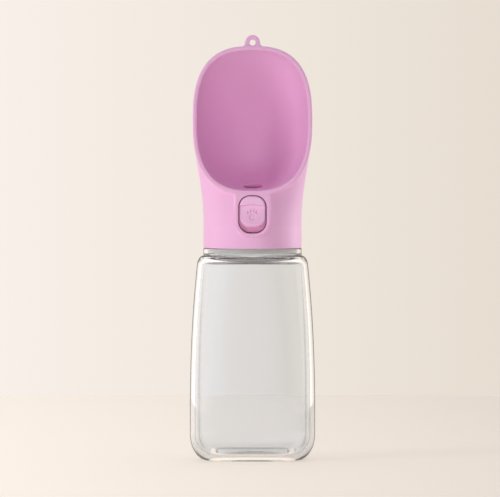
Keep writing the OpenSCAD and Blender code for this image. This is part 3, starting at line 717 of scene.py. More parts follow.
def coil_tree():
    """Tree of a wire or ridge wound on a cylinder, in one or more starts about Z."""
    if "wound_coil" in bpy.data.node_groups:
        return bpy.data.node_groups["wound_coil"]
    tree = new_tree("wound_coil", {
        "Radius": ("Float", 0.01), "Lead": ("Float", 0.003), "Turns": ("Float", 3.0),
        "Starts": ("Int", 1), "Foot": ("Float", 0.001), "Crest": ("Float", 0.0005),
        "Height": ("Float", 0.0005), "Lean": ("Float", 0.0), "Steps": ("Int", 64),
        "Round": ("Bool", False), "Fade": ("Float", 0.0), "Material": ("Material", None),
    })
    given = add_node(tree, "NodeGroupInput").outputs
    helix = add_node(tree, "GeometryNodeCurveSpiral", {
        "Resolution": given["Steps"], "Rotations": given["Turns"],
        "Start Radius": given["Radius"], "End Radius": given["Radius"],
        "Height": maths(tree, "MULTIPLY", given["Lead"], given["Turns"]), "Reverse": False,
    }).outputs["Curve"]
    level = add_node(
        tree, "GeometryNodeSetCurveNormal", {"Curve": helix}, mode="Z_UP"
    ).outputs["Curve"]
    along = add_node(tree, "GeometryNodeSplineParameter").outputs["Factor"]
    nearest = maths(tree, "MINIMUM", along, maths(tree, "SUBTRACT", 1.0, along))
    faded = add_node(
        tree, "ShaderNodeMapRange",
        {"Value": nearest, "From Min": 0.0, "From Max": given["Fade"], "To Min": 0.15},
        interpolation_type="SMOOTHSTEP",
    ).outputs["Result"]
    swelling = add_node(
        tree, "GeometryNodeSetCurveRadius", {"Curve": level, "Radius": faded}
    ).outputs["Curve"]
    ridge = add_node(tree, "GeometryNodeCurvePrimitiveQuadrilateral", {
        "Bottom Width": given["Foot"], "Top Width": given["Crest"],
        "Height": given["Height"], "Offset": 0.0,
    }, mode="TRAPEZOID").outputs["Curve"]
    lean = add_node(tree, "ShaderNodeCombineXYZ", {"Z": given["Lean"]}).outputs[0]
    leant = add_node(
        tree, "GeometryNodeTransform", {"Geometry": ridge, "Rotation": lean}
    ).outputs[0]
    wire = add_node(
        tree, "GeometryNodeCurvePrimitiveCircle", {"Resolution": 16, "Radius": given["Height"]}
    ).outputs["Curve"]
    profile = add_node(
        tree, "GeometryNodeSwitch", {"Switch": given["Round"], "False": leant, "True": wire},
        input_type="GEOMETRY",
    ).outputs["Output"]
    body = add_node(tree, "GeometryNodeCurveToMesh", {
        "Curve": swelling, "Profile Curve": profile, "Fill Caps": True,
    })
    if "Scale" in body.inputs:
        tree.links.new(faded, body.inputs["Scale"])
    starts = add_node(tree, "GeometryNodePoints", {"Count": given["Starts"]}).outputs[0]
    number = add_node(tree, "GeometryNodeInputIndex").outputs[0]
    share = maths(tree, "DIVIDE", number, given["Starts"])
    turn = maths(tree, "MULTIPLY", share, 2 * math.pi)
    spin = add_node(tree, "ShaderNodeCombineXYZ", {"Z": turn}).outputs[0]
    copies = add_node(tree, "GeometryNodeInstanceOnPoints", {
        "Points": starts, "Instance": body.outputs["Mesh"], "Rotation": spin,
    }).outputs[0]
    return end_tree(tree, copies, given["Material"], smooth=True)


def grid_tree():
    """Tree that repeats a piece's own mesh at the corners of a level rectangle."""
    if "corner_copies" in bpy.data.node_groups:
        return bpy.data.node_groups["corner_copies"]
    tree = new_tree("corner_copies", {
        "Spacing X": ("Float", 0.02), "Spacing Y": ("Float", 0.02),
        "Centre": ("Vector", (0, 0, 0)), "Material": ("Material", None),
    })
    given = add_node(tree, "NodeGroupInput").outputs
    corners = add_node(tree, "GeometryNodeMeshGrid", {
        "Size X": given["Spacing X"], "Size Y": given["Spacing Y"], "Vertices X": 2,
        "Vertices Y": 2,
    }).outputs["Mesh"]
    placed = add_node(
        tree, "GeometryNodeTransform", {"Geometry": corners, "Translation": given["Centre"]}
    ).outputs[0]
    copies = add_node(
        tree, "GeometryNodeInstanceOnPoints", {"Points": placed, "Instance": given["Geometry"]}
    ).outputs[0]
    return end_tree(tree, copies, given["Material"])


def placed_mesh(piece, matrix):
    """Moves a piece's mesh, leaving its object at the origin."""
    piece.data.transform(matrix)
    piece.data.update()
    return piece


# ---------------------------------------------------------------- clear bottle


def taper_at(z):
    """How far the bottle has narrowed at a height, from 0 to 1."""
    return max(0, (z - TAPER_FROM_Z) / (SHOULDER_Z - TAPER_FROM_Z)) ** TAPER_POWER


def power_at(z):
    """Squareness of the bottle's outline at a height."""
    return BODY_POWER - (BODY_POWER - TOP_POWER) * (z / SHOULDER_Z) ** 2


def bottle_station(z):
    """Half sizes and squareness of the bottle's outside at a height."""
    foot = FOOT_ROUND_W * (1 - arc_left((FOOT_ROUND_H - z) / FOOT_ROUND_H))
    edge = 1 - arc_left((z - (SHOULDER_Z - SHOULDER_ROUND)) / SHOULDER_ROUND)
    land = HEAD_R + SHOULDER_LAND
    half_x = BOTTLE_W / 2 - foot - taper_at(z) * (BOTTLE_W - SHOULDER_W) / 2
    half_y = BOTTLE_D / 2 - foot - taper_at(z) * (BOTTLE_D - SHOULDER_D) / 2
    half_x -= edge * (SHOULDER_W / 2 - land)
    half_y -= edge * (SHOULDER_D / 2 - land)
    return z, half_x, half_y, power_at(z)


def cavity_station(z, wall, floor, ceiling):
    """Half sizes and squareness of the bottle's inside at a height."""
    foot = (FOOT_ROUND_W - 1) * (1 - arc_left((FOOT_ROUND_H - z) / (FOOT_ROUND_H - floor)))
    crown = CROWN_W * (1 - arc_left((z - (ceiling - CROWN_H)) / CROWN_H))
    half_x = BOTTLE_W / 2 - taper_at(z) * (BOTTLE_W - SHOULDER_W) / 2 - wall - foot - crown
    half_y = BOTTLE_D / 2 - taper_at(z) * (BOTTLE_D - SHOULDER_D) / 2 - wall - foot - crown
    return z, half_x, half_y, power_at(z)


def corner_arc(z, r, dz, dr, steps=4, hollow=False):
    """Round stations that turn a corner. It starts at (z, r) and ends at (z+dz, r+dr)."""
    made = []
    for i in range(steps + 1):
        a = math.radians(90 * i / steps)
        up, out = (1 - math.cos(a), math.sin(a)) if hollow else (math.sin(a), 1 - math.cos(a))
        made.append((z + dz * up, r + dr * out, r + dr * out, 2.0))
    return made


FLOOR_SHARES = (0.06, 0.2, 0.4, 0.6, 0.8, 0.94)
FLOOR_RISE = 0.35


def turning(start, end, count):
    """Angles in radians, evenly from one number of degrees to another."""
    return [math.radians(angle) for angle in np.linspace(start, end, count)]


def bottle_stations(sizes):
    """Stations from under the foot, up the outside, over the neck and down the inside."""
    wall, floor, lip = sizes.wall / MM, sizes.floor / MM, sizes.lip_round / MM
    ceiling = WELL_Z - wall - 0.6
    foot_x = BOTTLE_W / 2 - FOOT_ROUND_W
    foot_y = BOTTLE_D / 2 - FOOT_ROUND_W
    hollow_x, hollow_y = foot_x - FOOT_LAND, foot_y - FOOT_LAND
    made = [(FOOT_HOLLOW, 0, 0, 2)]
    made += [(FOOT_HOLLOW, s * hollow_x, s * hollow_y, BODY_POWER) for s in FLOOR_SHARES]
    for share in (0.0, 0.3, 0.7, 1.0):
        inset = FOOT_LAND + 0.5 - share
        z = FOOT_HOLLOW * (1 - ease(share))
        made.append((z, foot_x - inset, foot_y - inset, BODY_POWER))
    made.append((0, foot_x - 2.2, foot_y - 2.2, BODY_POWER))
    heights = [FOOT_ROUND_H * (1 - math.cos(a)) for a in turning(0, 90, 22)]
    heights += list(np.linspace(FOOT_ROUND_H, SHOULDER_Z - SHOULDER_ROUND, 40)[1:])
    heights += [SHOULDER_Z - SHOULDER_ROUND * (1 - math.sin(a)) for a in turning(0, 90, 15)[1:]]
    made += [bottle_station(z) for z in heights]
    for share in np.linspace(0, 1, 6)[1:]:
        quarter = share * math.pi / 2
        r = HEAD_R + SHOULDER_LAND * (1 - math.sin(quarter))
        z = SHOULDER_Z + 0.5 * (1 - math.cos(quarter))
        made.append((z, r, r, TOP_POWER + (2 - TOP_POWER) * share))
    # collar's lip, the well behind it, then the neck and its lip
    skirt_r, bore_r = HEAD_R - COLLAR_WALL, NECK_R - NECK_WALL
    made += [(z, HEAD_R, HEAD_R, 2) for z in np.linspace(SHOULDER_Z + 1, COLLAR_Z - lip - 0.3, 4)]
    made += corner_arc(COLLAR_Z - lip, HEAD_R, lip, -lip)
    made += corner_arc(COLLAR_Z, skirt_r + lip, -lip, -lip, hollow=True)
    made += [(z, skirt_r, skirt_r, 2) for z in (COLLAR_Z - 1.5, WELL_Z + 1.2)]
    made += corner_arc(WELL_Z + 0.6, skirt_r, -0.6, -0.6)
    made += corner_arc(WELL_Z, NECK_R + 0.6, 0.6, -0.6, hollow=True)
    made += [(z, NECK_R, NECK_R, 2) for z in np.linspace(WELL_Z + 1.2, NECK_TOP_Z - 1.2, 4)]
    made += corner_arc(NECK_TOP_Z - 0.6, NECK_R, 0.6, -0.6)
    made += corner_arc(NECK_TOP_Z, bore_r + 0.6, -0.6, -0.6, hollow=True)
    made += [(z, bore_r, bore_r, 2) for z in np.linspace(NECK_TOP_Z - 1.2, ceiling + 1.6, 5)]
    made += [(z, r, b, 2) for z, r, b, _ in corner_arc(ceiling + 1, bore_r, -1, 1)]
    _, crown_x, crown_y, crown_power = cavity_station(ceiling, wall, floor, ceiling)
    for share in (0.3, 0.65):
        made.append((
            ceiling,
            bore_r + 1 + share * (crown_x - bore_r - 1),
            bore_r + 1 + share * (crown_y - bore_r - 1),
            2 + share * (crown_power - 2),
        ))
    heights = [ceiling - CROWN_H * (1 - math.sin(a)) for a in turning(90, 0, 14)]
    heights += list(np.linspace(ceiling - CROWN_H, FOOT_ROUND_H, 40)[1:])
    rise = FOOT_ROUND_H - floor
    heights += [floor + rise * (1 - math.cos(a)) for a in turning(90, 0, 18)[1:]]
    made += [cavity_station(z, wall, floor, ceiling) for z in heights]
    _, floor_x, floor_y, floor_power = cavity_station(floor, wall, floor, ceiling)
    for share in reversed(FLOOR_SHARES):
        z = floor + FLOOR_RISE * (1 - share**2)
        made.append((z, share * floor_x, share * floor_y, floor_power))
    made.append((floor + FLOOR_RISE, 0, 0, 2))
    return made


class MakeClearBottle(bpy.types.Operator):
    """Make the clear bottle with its collar, neck and screw thread."""

    bl_idname = "travel_bottle.clear_bottle"
    bl_label = "Clear bottle"

    def execute(self, context):
        sizes = context.scene.bottle_sizes
        plastic = finish_named("clear_plastic")
        bottle = lofted("clear_bottle", bottle_stations(sizes))
        finish_piece(bottle, plastic, "bottle", "clear_plastic", "bottle")
        ridges = screw_ridges("neck_thread", sizes, NECK_R - 0.05, 1.25, plastic, False)
        finish_piece(ridges, plastic, "bottle", "clear_plastic")
        return {"FINISHED"}


def screw_ridges(name, sizes, radius, turns, material, inward):
    """Thread ridges about Z, standing out from the neck or into the cap."""
    piece = add_mesh(name, np.zeros((0, 3)), [])
    apply_tree(
        piece,
        coil_tree(),
        Radius=radius * MM,
        Lead=sizes.thread_lead,
        Turns=turns,
        Starts=sizes.thread_starts,
        Foot=1.4 * MM,
        Crest=0.6 * MM,
        Height=2 * sizes.thread_height,
        Lean=math.radians(-90 if inward else 90),
        Steps=96,
        Fade=0.06,
        Material=material,
    )
    low = WELL_Z + 1.6
    if inward:
        low += 0.5 * sizes.thread_lead / sizes.thread_starts / MM
    return placed_mesh(piece, Matrix.Translation((0, 0, low * MM)))


# ---------------------------------------------------------------- pink head


def rim_y(z, lean):
    """Front plane of the rim: upright below the scoop, leaning back beside it."""
    return FRONT_Y + np.maximum(0, z - RIM_Z) * lean


class RimGauge:
    """How far a point lies out from the scoop's deepest line, as a share of the rim."""

    def __init__(self, grow):
        half_x = BOWL_R - BOWL_WALL + grow
        top = RIM_TOP_Z - DEEP_Z - BOWL_WALL + grow
        low = DEEP_Z - RIM_Z - BOWL_WALL + grow
        half_z, middle = (top + low) / 2, (top - low) / 2
        t = np.linspace(0, 2 * np.pi, 8193)[:-1]
        c, s = np.cos(t), np.sin(t)
        x, z = half_x * signed_power(c, 2 / RIM_POWER), half_z * signed_power(s, 2 / RIM_POWER)
        steep_x = signed_power(x / half_x, RIM_POWER - 1) / half_x
        steep_z = signed_power(z / half_z, RIM_POWER - 1) / half_z
        z = z + middle
        reach = x * steep_x + z * steep_z
        angle = np.arctan2(z, x)
        order = np.argsort(angle)
        self.angle = angle[order]
        self.out_x = (steep_x / reach)[order]
        self.out_z = (steep_z / reach)[order]

    def at(self, x, z):
        """The share itself and its slope in x and z, at places relative to the deepest line."""
        angle = np.arctan2(z, x)
        out_x = np.interp(angle, self.angle, self.out_x, period=2 * np.pi)
        out_z = np.interp(angle, self.angle, self.out_z, period=2 * np.pi)
        return x * out_x + z * out_z, out_x, out_z


def scoop_field(x, y, z, gauge, depth, lean):
    """Field and unit slope of the scoop's skin. It runs straight on in front of the rim."""
    up = z - DEEP_Z
    share, out_x, out_z = gauge.at(x + 0 * up, up + 0 * x)
    climb = up / np.maximum(np.hypot(x, up), 1e-6)
    bend = np.where(climb > 0, SKIN_POWER_ABOVE, SKIN_POWER_BELOW)
    power = SKIN_POWER + bend * climb**2
    s = np.maximum(y - rim_y(z, lean), 1e-4) / depth
    total = np.sqrt(np.maximum(share**2 + s**power, 1e-8))
    fall = share / total
    fx, fz = fall * out_x, fall * out_z
    fy = power * s ** (power - 1) / (2 * total * depth)
    steep = np.sqrt(fx**2 + fy**2 + fz**2)
    return (total - 1) / steep, (fx / steep, fy / steep)


def neck_field(x, y, z, lean):
    """Field and unit slope of the neck and the cheeks that widen from it."""
    v = np.clip((z - CHEEK_FROM_Z) / (CHEEK_TO_Z - CHEEK_FROM_Z), 0, 1)
    tuck = (np.maximum(0, v - 0.82) / 0.18) ** 2
    half_x = HEAD_R + (BOWL_R - HEAD_R) * ease(v**1.15) - 1.6 * tuck
    middle = CHEEK_MIDDLE_Y * ease(v)
    front = middle - rim_y(z, lean) - BEZEL_PROUD
    back = HEAD_R - CHEEK_BACK * v**1.65 - 0.9 * tuck - middle
    ahead = y < middle
    power = np.where(ahead, 2 + 1.2 * v, 2.0)
    half_y = np.where(ahead, front, back)
    u, w = np.abs(x) / half_x, np.abs(y - middle) / half_y
    share = np.maximum((u**power + w**power) ** (1 / power), 1e-5)
    fx = (u / share) ** (power - 1) / half_x * np.sign(x)
    fy = (w / share) ** (power - 1) / half_y * np.sign(y - middle)
    steep = np.maximum(np.hypot(fx, fy), 1e-6)
    return (share - 1) / steep, (fx / steep, fy / steep)


def bead_bump(z, height):
    """Height of the snap bead's groove at z."""
    return height * (1 - ease((np.abs(z - BEAD_Z) - 0.2) / (height + 0.4)))


def eye_field(x, y, z):
    """Field of the lanyard eye with its flared root."""
    ring = np.hypot(x, z - EYE_Z) - EYE_R
    flare = np.clip((EYE_Z + 0.5 - z) / EYE_FLARE_H, 0, 1) ** 1.6
    side = np.abs(x) - EYE_R - (EYE_ROOT_W - EYE_R) * flare
    root = np.maximum(side, between(z, EYE_ROOT_Z, EYE_Z))
    front_y = FRONT_Y + BOWL_H * math.tan(RIM_LEAN) + 0.3
    return soft_common(soft_union(ring, root, 0.6), between(y, front_y, front_y + EYE_T), 1.0)


class HeadField:
    """Field of the whole pink head."""

    def __init__(self, sizes):
        self.lean = math.tan(sizes.rim_lean)
        self.edge = sizes.rim_round / MM
        self.blend = sizes.neck_blend / MM
        self.outer = RimGauge(BOWL_WALL)
        self.inner = RimGauge(0)

    def __call__(self, x, y, z):
        neck, (nx, ny) = neck_field(x, y, z, self.lean)
        scoop, (sx, sy) = scoop_field(
            x, y, z, self.outer, BOWL_DEPTH + BOWL_WALL, self.lean
        )
        room = soft_common(neck + HEAD_WALL, between(z, ROOM_Z, ROOM_TOP_Z), 2)
        hull = soft_common(neck, between(z, COLLAR_Z, CHEEK_TO_Z), 0.5)
        hull = soft_cut(hull, room, 0.8)
        window = rounded_box(x, z - WINDOW_Z, WINDOW_W / 2, WINDOW_H / 2, WINDOW_R)
        sides = np.maximum(np.abs(x) - WINDOW_W / 2 - BEZEL_W, between(z, WINDOW_Z, RIM_Z + 2))
        bezel = np.maximum(np.minimum(window - BEZEL_W, sides), y - 1 + HEAD_R)
        proud = soft_common(soft_union(scoop, bezel, 1.2), rim_y(z, self.lean) - y, self.edge)
        # the fillet grows where the two skins meet at an angle, and with the depth
        meeting = np.clip(1 - (nx * sx + ny * sy), 0.02, 1)
        behind = ease((y - FRONT_Y - 5) / 20)
        fillet = 1.1 + self.blend * behind * meeting
        body = soft_union(hull, proud, fillet)
        guide = np.maximum(
            np.maximum(np.abs(x) - WINDOW_W / 2 - BEZEL_W, between(z, DECK_TOP_Z, RIM_Z + 1)),
            between(y, GUIDE_FRONT_Y, GUIDE_REAR_Y),
        )
        body = soft_union(body, guide, 0.6)
        about_outlet = np.hypot(x, y - OUTLET_Y)
        boss = np.maximum(about_outlet - OUTLET_BOSS_R, between(z, BOSS_LOW_Z, SUMP_Z + 2.5))
        body = soft_union(body, boss, 0.6)
        body = soft_union(body, eye_field(x, y, z), 1.6)
        # everything that the mould leaves open
        pocket, _ = scoop_field(x, y, z, self.inner, BOWL_DEPTH, self.lean)
        body = soft_cut(body, pocket, self.edge)
        body = soft_cut(body, np.maximum(window, y - GUIDE_REAR_Y - 1), 0.6)
        body = soft_cut(body, np.hypot(x, z - EYE_Z) - EYE_HOLE_R, 0.6)
        hole = np.maximum(about_outlet - OUTLET_BORE_R, between(z, BOSS_LOW_Z - 3, SUMP_Z + 4))
        body = soft_cut(body, hole, 0.3)
        sump = np.maximum(about_outlet - SUMP_R, between(z, SUMP_Z, SUMP_Z + 6))
        body = soft_cut(body, sump, 0.5)
        axis = np.hypot(x, y)
        skirt = np.maximum(axis - SKIRT_BORE_R - bead_bump(z, 0.7), z - DECK_TOP_Z)
        ledge = np.maximum(axis - LEDGE_R, z - ROOM_Z - 0.05)
        return soft_cut(body, np.minimum(skirt, ledge), 0.5)


HALF_ACROSS = ((0, 7, 1), (7, 13, 0.5), (13, 32, 0.95), (32, 39.6, 0.6))
HEAD_DEEP = ((-34.9, -28, 0.5), (-28, -22, 0.6), (-22, 34.6, 0.98))
HEAD_UP = ((134.7, 144.3, 0.9), (144.3, 178.3, 0.6), (178.3, 253.3, 1), (253.3, 272.8, 0.6))


def mirrored_ruler(*spans):
    """Grid marks on both sides of zero."""
    half = ruler(*spans)
    return np.unique(np.concatenate([-half, half]))


class MakeScoopHead(bpy.types.Operator):
    """Make the pink head: neck, cheeks, drinking scoop, bezel and lanyard eye."""

    bl_idname = "travel_bottle.scoop_head"
    bl_label = "Scoop head"

    def execute(self, context):
        field = HeadField(context.scene.scoop_sizes)
        rulers = mirrored_ruler(*HALF_ACROSS), ruler(*HEAD_DEEP), ruler(*HEAD_UP)
        head = moulded("scoop_head", field, *rulers)
        finish_piece(head, finish_named("pink_shell"), "head", "pink_shell", "bowl_head")
        return {"FINISHED"}


# ---------------------------------------------------------------- button


PAW_Z = 156.0
PAW_PAD_R = 2.05
PAW_TOES = ((-2.75, 3, 0.75), (-1, 4.35, 0.8), (1, 4.35, 0.8), (2.75, 3, 0.75))
LEG_X, LEG_T, LEG_H, LEG_UP = 4.2, 1.4, 6, 1
BARB = 0.7
FACE_T = 3.2
BUTTON_R = 6.6
LEG_REACH = 3.7
BUTTON_STEP = 0.17


def paw_dip(x, z):
    """Depth of the engraved paw, from 0 to 1."""
    dip = 1 - ease((np.hypot(x, z - PAW_Z) - PAW_PAD_R + 0.3) / 0.45)
    for toe_x, toe_up, radius in PAW_TOES:
        far = np.hypot((x - toe_x) * 1.15, (z - PAW_Z - toe_up) * 0.9)
        dip = np.maximum(dip, 1 - ease((far - radius + 0.25) / 0.45))
    return dip


def button_field(sizes):
    """Field of the thumb button: drafted sides, a band, a hollowed pad and two legs."""
    base_y = BUTTON_LOW.y + FACE_T
    top_z, low_z = BUTTON_HIGH.z, BUTTON_LOW.z
    half_x = (BUTTON_HIGH.x - BUTTON_LOW.x) / 2
    pad, band = sizes.pad_depth / MM, sizes.band_height / MM
    draft, paw = sizes.lip_draft / MM, sizes.paw_depth / MM
    deep_z = top_z - band - 2.4
    reach = deep_z - low_z - 1
    radius = (reach**2 + pad**2) / (2 * pad)
    leg_z = (top_z + low_z) / 2 + LEG_UP

    def field(x, y, z):
        front = np.clip((base_y - y) / FACE_T, 0, 1.3)
        low = low_z + draft * front**1.5
        high = top_z - 0.35 * front
        side = half_x - 0.35 * front
        cap = rounded_box(x, z - (low + high) / 2, side, (high - low) / 2, BUTTON_R)
        run = np.clip(np.abs(z - deep_z) / radius, 0, 0.99)
        hollow = np.maximum(pad - radius * (1 - np.sqrt(1 - run**2)), 0)
        step_z = top_z - band - 0.012 * x**2
        below = ease((step_z + 0.1 - z) / 1.0)
        crown = 0.25 * (np.abs(x) / half_x) ** 2.5
        face = BUTTON_LOW.y + crown + (hollow + paw * paw_dip(x, z)) * below
        shape = soft_common(cap, face - y, 0.9)
        shape = soft_common(shape, y - base_y, 0.25)
        leg_end = np.abs(z - leg_z) - LEG_H / 2
        arm = np.maximum(between(np.abs(x), LEG_X, LEG_X + LEG_T), leg_end)
        arm = soft_common(arm, between(y, base_y - 1, base_y + LEG_REACH), 0.25)
        hook = np.maximum(between(np.abs(x), LEG_X + 0.3, LEG_X + LEG_T + BARB), leg_end)
        hook = soft_common(hook, between(y, base_y + 2.5, base_y + LEG_REACH), 0.25)
        return soft_union(shape, np.minimum(arm, hook), 0.3)

    return field


class MakeButton(bpy.types.Operator):
    """Make the thumb button with its band, hollowed pad and engraved paw."""

    bl_idname = "travel_bottle.button"
    bl_label = "Thumb button"

    def execute(self, context):
        field = button_field(context.scene.button_sizes)
        low, high, step = BUTTON_LOW, BUTTON_HIGH, BUTTON_STEP
        deep = ruler((low.y - 0.6, low.y + 3.6, step), (low.y + 3.6, high.y + 0.6, 0.3))
        up = ruler((low.z - 0.5, high.z + 0.5, step))
        cap = moulded("thumb_button", field, mirrored_ruler((0, 8.7, step)), deep, up)
        finish_piece(cap, finish_named("pink_button"), "button", "pink_button", "button_cap")
        return {"FINISHED"}


class MakeButtonCarrier(bpy.types.Operator):
    """Make the carrier that the button slides on, with its hub for the stem."""

    bl_idname = "travel_bottle.button_carrier"
    bl_label = "Button carrier"

    def execute(self, context):
        piece = softened_copy("button_carrier", "carrier_plate", 0.3)
        finish_piece(
            piece, finish_named("pink_carrier"), "plunger", "pink_carrier", "button_carrier"
        )
        return {"FINISHED"}


# ---------------------------------------------------------------- inner parts


class MakeInnerCap(bpy.types.Operator):
    """Make the white inner cap that screws onto the neck, with its thread."""

    bl_idname = "travel_bottle.inner_cap"
    bl_label = "Inner cap"

    def execute(self, context):
        sizes = context.scene.bottle_sizes
        plastic = finish_named("white_plastic")
        cap = softened_copy("inner_cap", "threaded_cap", 0.25)
        finish_piece(cap, plastic, "head", "white_plastic", "inner_cap")
        ridges = screw_ridges("cap_thread", sizes, NECK_R + 1.55, 1.0, plastic, True)
        finish_piece(ridges, plastic, "head", "white_plastic")
        return {"FINISHED"}


SEALS = (
    ("neck_gasket", "neck_seal_ring", "gasket", "silicone", 0.15),
    ("vent_valve", "vent_umbrella", "head", "silicone", 0.12),
    ("foot_gasket", "valve_foot_gasket", "head", "silicone", 0.1),
    ("outlet_seal", "outlet_sleeve", "head", "silicone", 0.15),
    ("poppet_seal", "poppet_disc", "plunger", "silicone", 0.12),
    ("stem_o_ring", "stem_ring", "plunger", "black_rubber", 0),
    ("plug_o_ring", "plug_ring", "head", "black_rubber", 0),
)

VALVE_MOULDINGS = (
    ("valve_body", "valve_barrel", "head", "valve_plastic", 0.2),
    ("spring_plug", "barrel_plug", "head", "valve_plastic", 0.15),
    ("valve_stem", "stem_rod", "plunger", "valve_plastic", 0.08),
)

METAL_PARTS = (
    ("carrier_screw", "stem_screw", "plunger", "steel", 0.08),
    ("poppet_clip", "stem_clip", "plunger", "steel", 0.06),
)


def make_softened(rows):
    """Rounds off copies of CAD nodes and dresses them."""
    for node, name, body, finish, edge in rows:
        piece = softened_copy(node, name, edge)
        finish_piece(piece, finish_named(finish), body, finish, node)


class MakeSeals(bpy.types.Operator):
    """Make the silicone seals, the vent and the two O-rings."""

    bl_idname = "travel_bottle.seals"
    bl_label = "Seals"

    def execute(self, context):
        make_softened(SEALS)
        # the sleeve in the bowl's outlet is tinted to match the bowl, in a pink darker than the
        # shell's: painted shade of the bowl's deep bottom
        tinted = soft_silicone("outlet_silicone", context.scene.bottle_finishes.outlet)
        bpy.data.objects["outlet_sleeve"].data.materials[0] = tinted
        return {"FINISHED"}


class MakeValveMouldings(bpy.types.Operator):
    """Make the valve's barrel, its plug and the stem."""

    bl_idname = "travel_bottle.valve_mouldings"
    bl_label = "Valve mouldings"

    def execute(self, context):
        make_softened(VALVE_MOULDINGS)
        return {"FINISHED"}


class MakeFasteners(bpy.types.Operator):
    """Make the screws and the stem's clip."""

    bl_idname = "travel_bottle.fasteners"
    bl_label = "Fasteners"

    def execute(self, context):
        make_softened(METAL_PARTS)
        steel = finish_named("steel")
        screw = one_screw("valve_foot_screws")
        low, high = SCREWS_LOW, SCREWS_HIGH
        apply_tree(screw, grid_tree(), **{
            "Spacing X": (high.x - low.x - 2 * SCREW_HEAD_R) * MM,
            "Spacing Y": (high.y - low.y - 2 * SCREW_HEAD_R) * MM,
            "Centre": ((low.x + high.x) / 2 * MM, (low.y + high.y) / 2 * MM, high.z * MM),
            "Material": steel,
        })
        finish_piece(screw, steel, "head", "steel", "valve_screws")
        return {"FINISHED"}


SCREW_HEAD_R = 2.0


def one_screw(name):
    """A pan head screw with a cross recess and a ridged shank, its top at the origin."""
    head_r, head_t, shank_r = SCREW_HEAD_R, 1.4, 1.0
    shank_l = SCREWS_HIGH.z - SCREWS_LOW.z - head_t
    profile = [(0, 0.0), (head_r - 0.9, 0.0), (head_r - 0.35, -0.15), (head_r, -0.55)]
    profile += [(head_r, -head_t), (shank_r, -head_t)]
    ridges = round(shank_l / 0.45)
    for i in range(ridges):
        z = -head_t - shank_l * 0.92 * i / ridges
        profile += [(shank_r * 0.82, z - 0.12), (shank_r, z - 0.3)]
    profile += [(shank_r * 0.7, -head_t - shank_l * 0.95), (0, -head_t - shank_l)]
    count = 32
    points, faces = [], []
    for r, z in profile:
        for i in range(count):
            a = 2 * math.pi * i / count
            points.append((r * math.cos(a), r * math.sin(a), z))
    for k in range(len(profile) - 1):
        for i in range(count):
            j = (i + 1) % count
            a, b = k * count, (k + 1) * count
            faces.append((a + i, b + i, b + j, a + j))
    piece = add_mesh(name, points, faces)
    form = bmesh.new()
    form.from_mesh(piece.data)
    bmesh.ops.remove_doubles(form, verts=form.verts, dist=0.001 * MM)
    bmesh.ops.recalc_face_normals(form, faces=form.faces)
    form.to_mesh(piece.data)
    form.free()
    cutter = add_mesh("cross_cutter", *cross_prism(1.25, 0.28, 0.75))
    cut = piece.modifiers.new("recess", "BOOLEAN")
    cut.operation = "DIFFERENCE"
    cut.object = cutter
    to_plain_mesh(piece)
    bpy.data.objects.remove(cutter)
    piece.data.set_sharp_from_angle(angle=math.radians(35))
    return piece


def cross_prism(arm, half_t, depth):
    """Points and faces of a cross-shaped cutter about the origin."""
    corner = [
        (half_t, half_t), (half_t, arm), (-half_t, arm), (-half_t, half_t),
        (-arm, half_t), (-arm, -half_t), (-half_t, -half_t), (-half_t, -arm),
        (half_t, -arm), (half_t, -half_t), (arm, -half_t), (arm, half_t),
    ]
    n = len(corner)
    points = [(x * 0.6, y * 0.6, -depth) for x, y in corner] + [(x, y, 0.4) for x, y in corner]
    faces = [tuple(range(n - 1, -1, -1)), tuple(range(n, 2 * n))]
    faces += [(i, (i + 1) % n, n + (i + 1) % n, n + i) for i in range(n)]
    points = np.array(points)
    return points, [f[::-1] for f in faces]


class MakeValveSpring(bpy.types.Operator):
    """Make the coil spring that shuts the valve."""

    bl_idname = "travel_bottle.valve_spring"
    bl_label = "Valve spring"

    def execute(self, context):
        steel = finish_named("steel")
        low, high = SPRING_LOW, SPRING_HIGH
        wire_r = 0.35
        mean_r = (high.x - low.x) / 2 - wire_r
        turns = 6
        length = high.y - low.y - 2 * wire_r
        spring = add_mesh("coil_spring", np.zeros((0, 3)), [])
        apply_tree(
            spring,
            coil_tree(),
            Radius=mean_r * MM,
            Lead=length / turns * MM,
            Turns=float(turns),
            Starts=1,
            Height=wire_r * MM,
            Steps=48,
            Round=True,
            Fade=0.0001,
            Material=steel,
        )
        middle_z = (low.z + high.z) / 2
        place = Matrix.Translation((0, (low.y + wire_r) * MM, middle_z * MM))
        placed_mesh(spring, place @ Matrix.Rotation(math.radians(-90), 4, "X"))
        finish_piece(spring, steel, "head", "steel", "valve_spring")
        # the plug holds its rear end, and the poppet presses its front end
        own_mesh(spring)
        return {"FINISHED"}


# ---------------------------------------------------------------- stage


CAMERA_BACK = 4.5
CAMERA_HEIGHT = 0.25
AIM = Vector((-0.0016, 0, 0.1352))
FLOOR_BACK = 0.893
FLOOR_SIDES = 256


def stage_floor(look):
    """A pale round floor that ends where the background begins."""
    turn = np.linspace(0, 2 * np.pi, FLOOR_SIDES + 1)[:-1]
    rim = np.stack([np.cos(turn), np.sin(turn), 0 * turn], axis=1) * FLOOR_BACK / MM
    floor = add_mesh("floor", rim, [range(len(rim))], smooth=False)
    material, tree = new_material("floor_paint")
    place = add_node(tree, "ShaderNodeTexCoord").outputs["Object"]
    across = add_node(tree, "ShaderNodeSeparateXYZ", {"Vector": place}).outputs["X"]
    # painted light and shade: the floor is lighter at the left and darker at the right, and it
    # glows by its own emission, which keeps it pale and softens the object's shadow on it
    share = ranged(tree, across, 0, 1, -0.18, 0.18)
    tone = two_colours(tree, share, shaded(look.floor, 1.06), shaded(look.floor, 0.84))
    close_material(tree, principled(tree, {
        "Base Color": tone, "Roughness": 0.75, "Emission Color": tone,
        "Emission Strength": 0.55,
    }))
    floor.data.materials.append(material)


def background(tree, colour, strength):
    """A background of one colour and strength."""
    return add_node(
        tree, "ShaderNodeBackground", {"Color": colour, "Strength": strength}
    ).outputs[0]


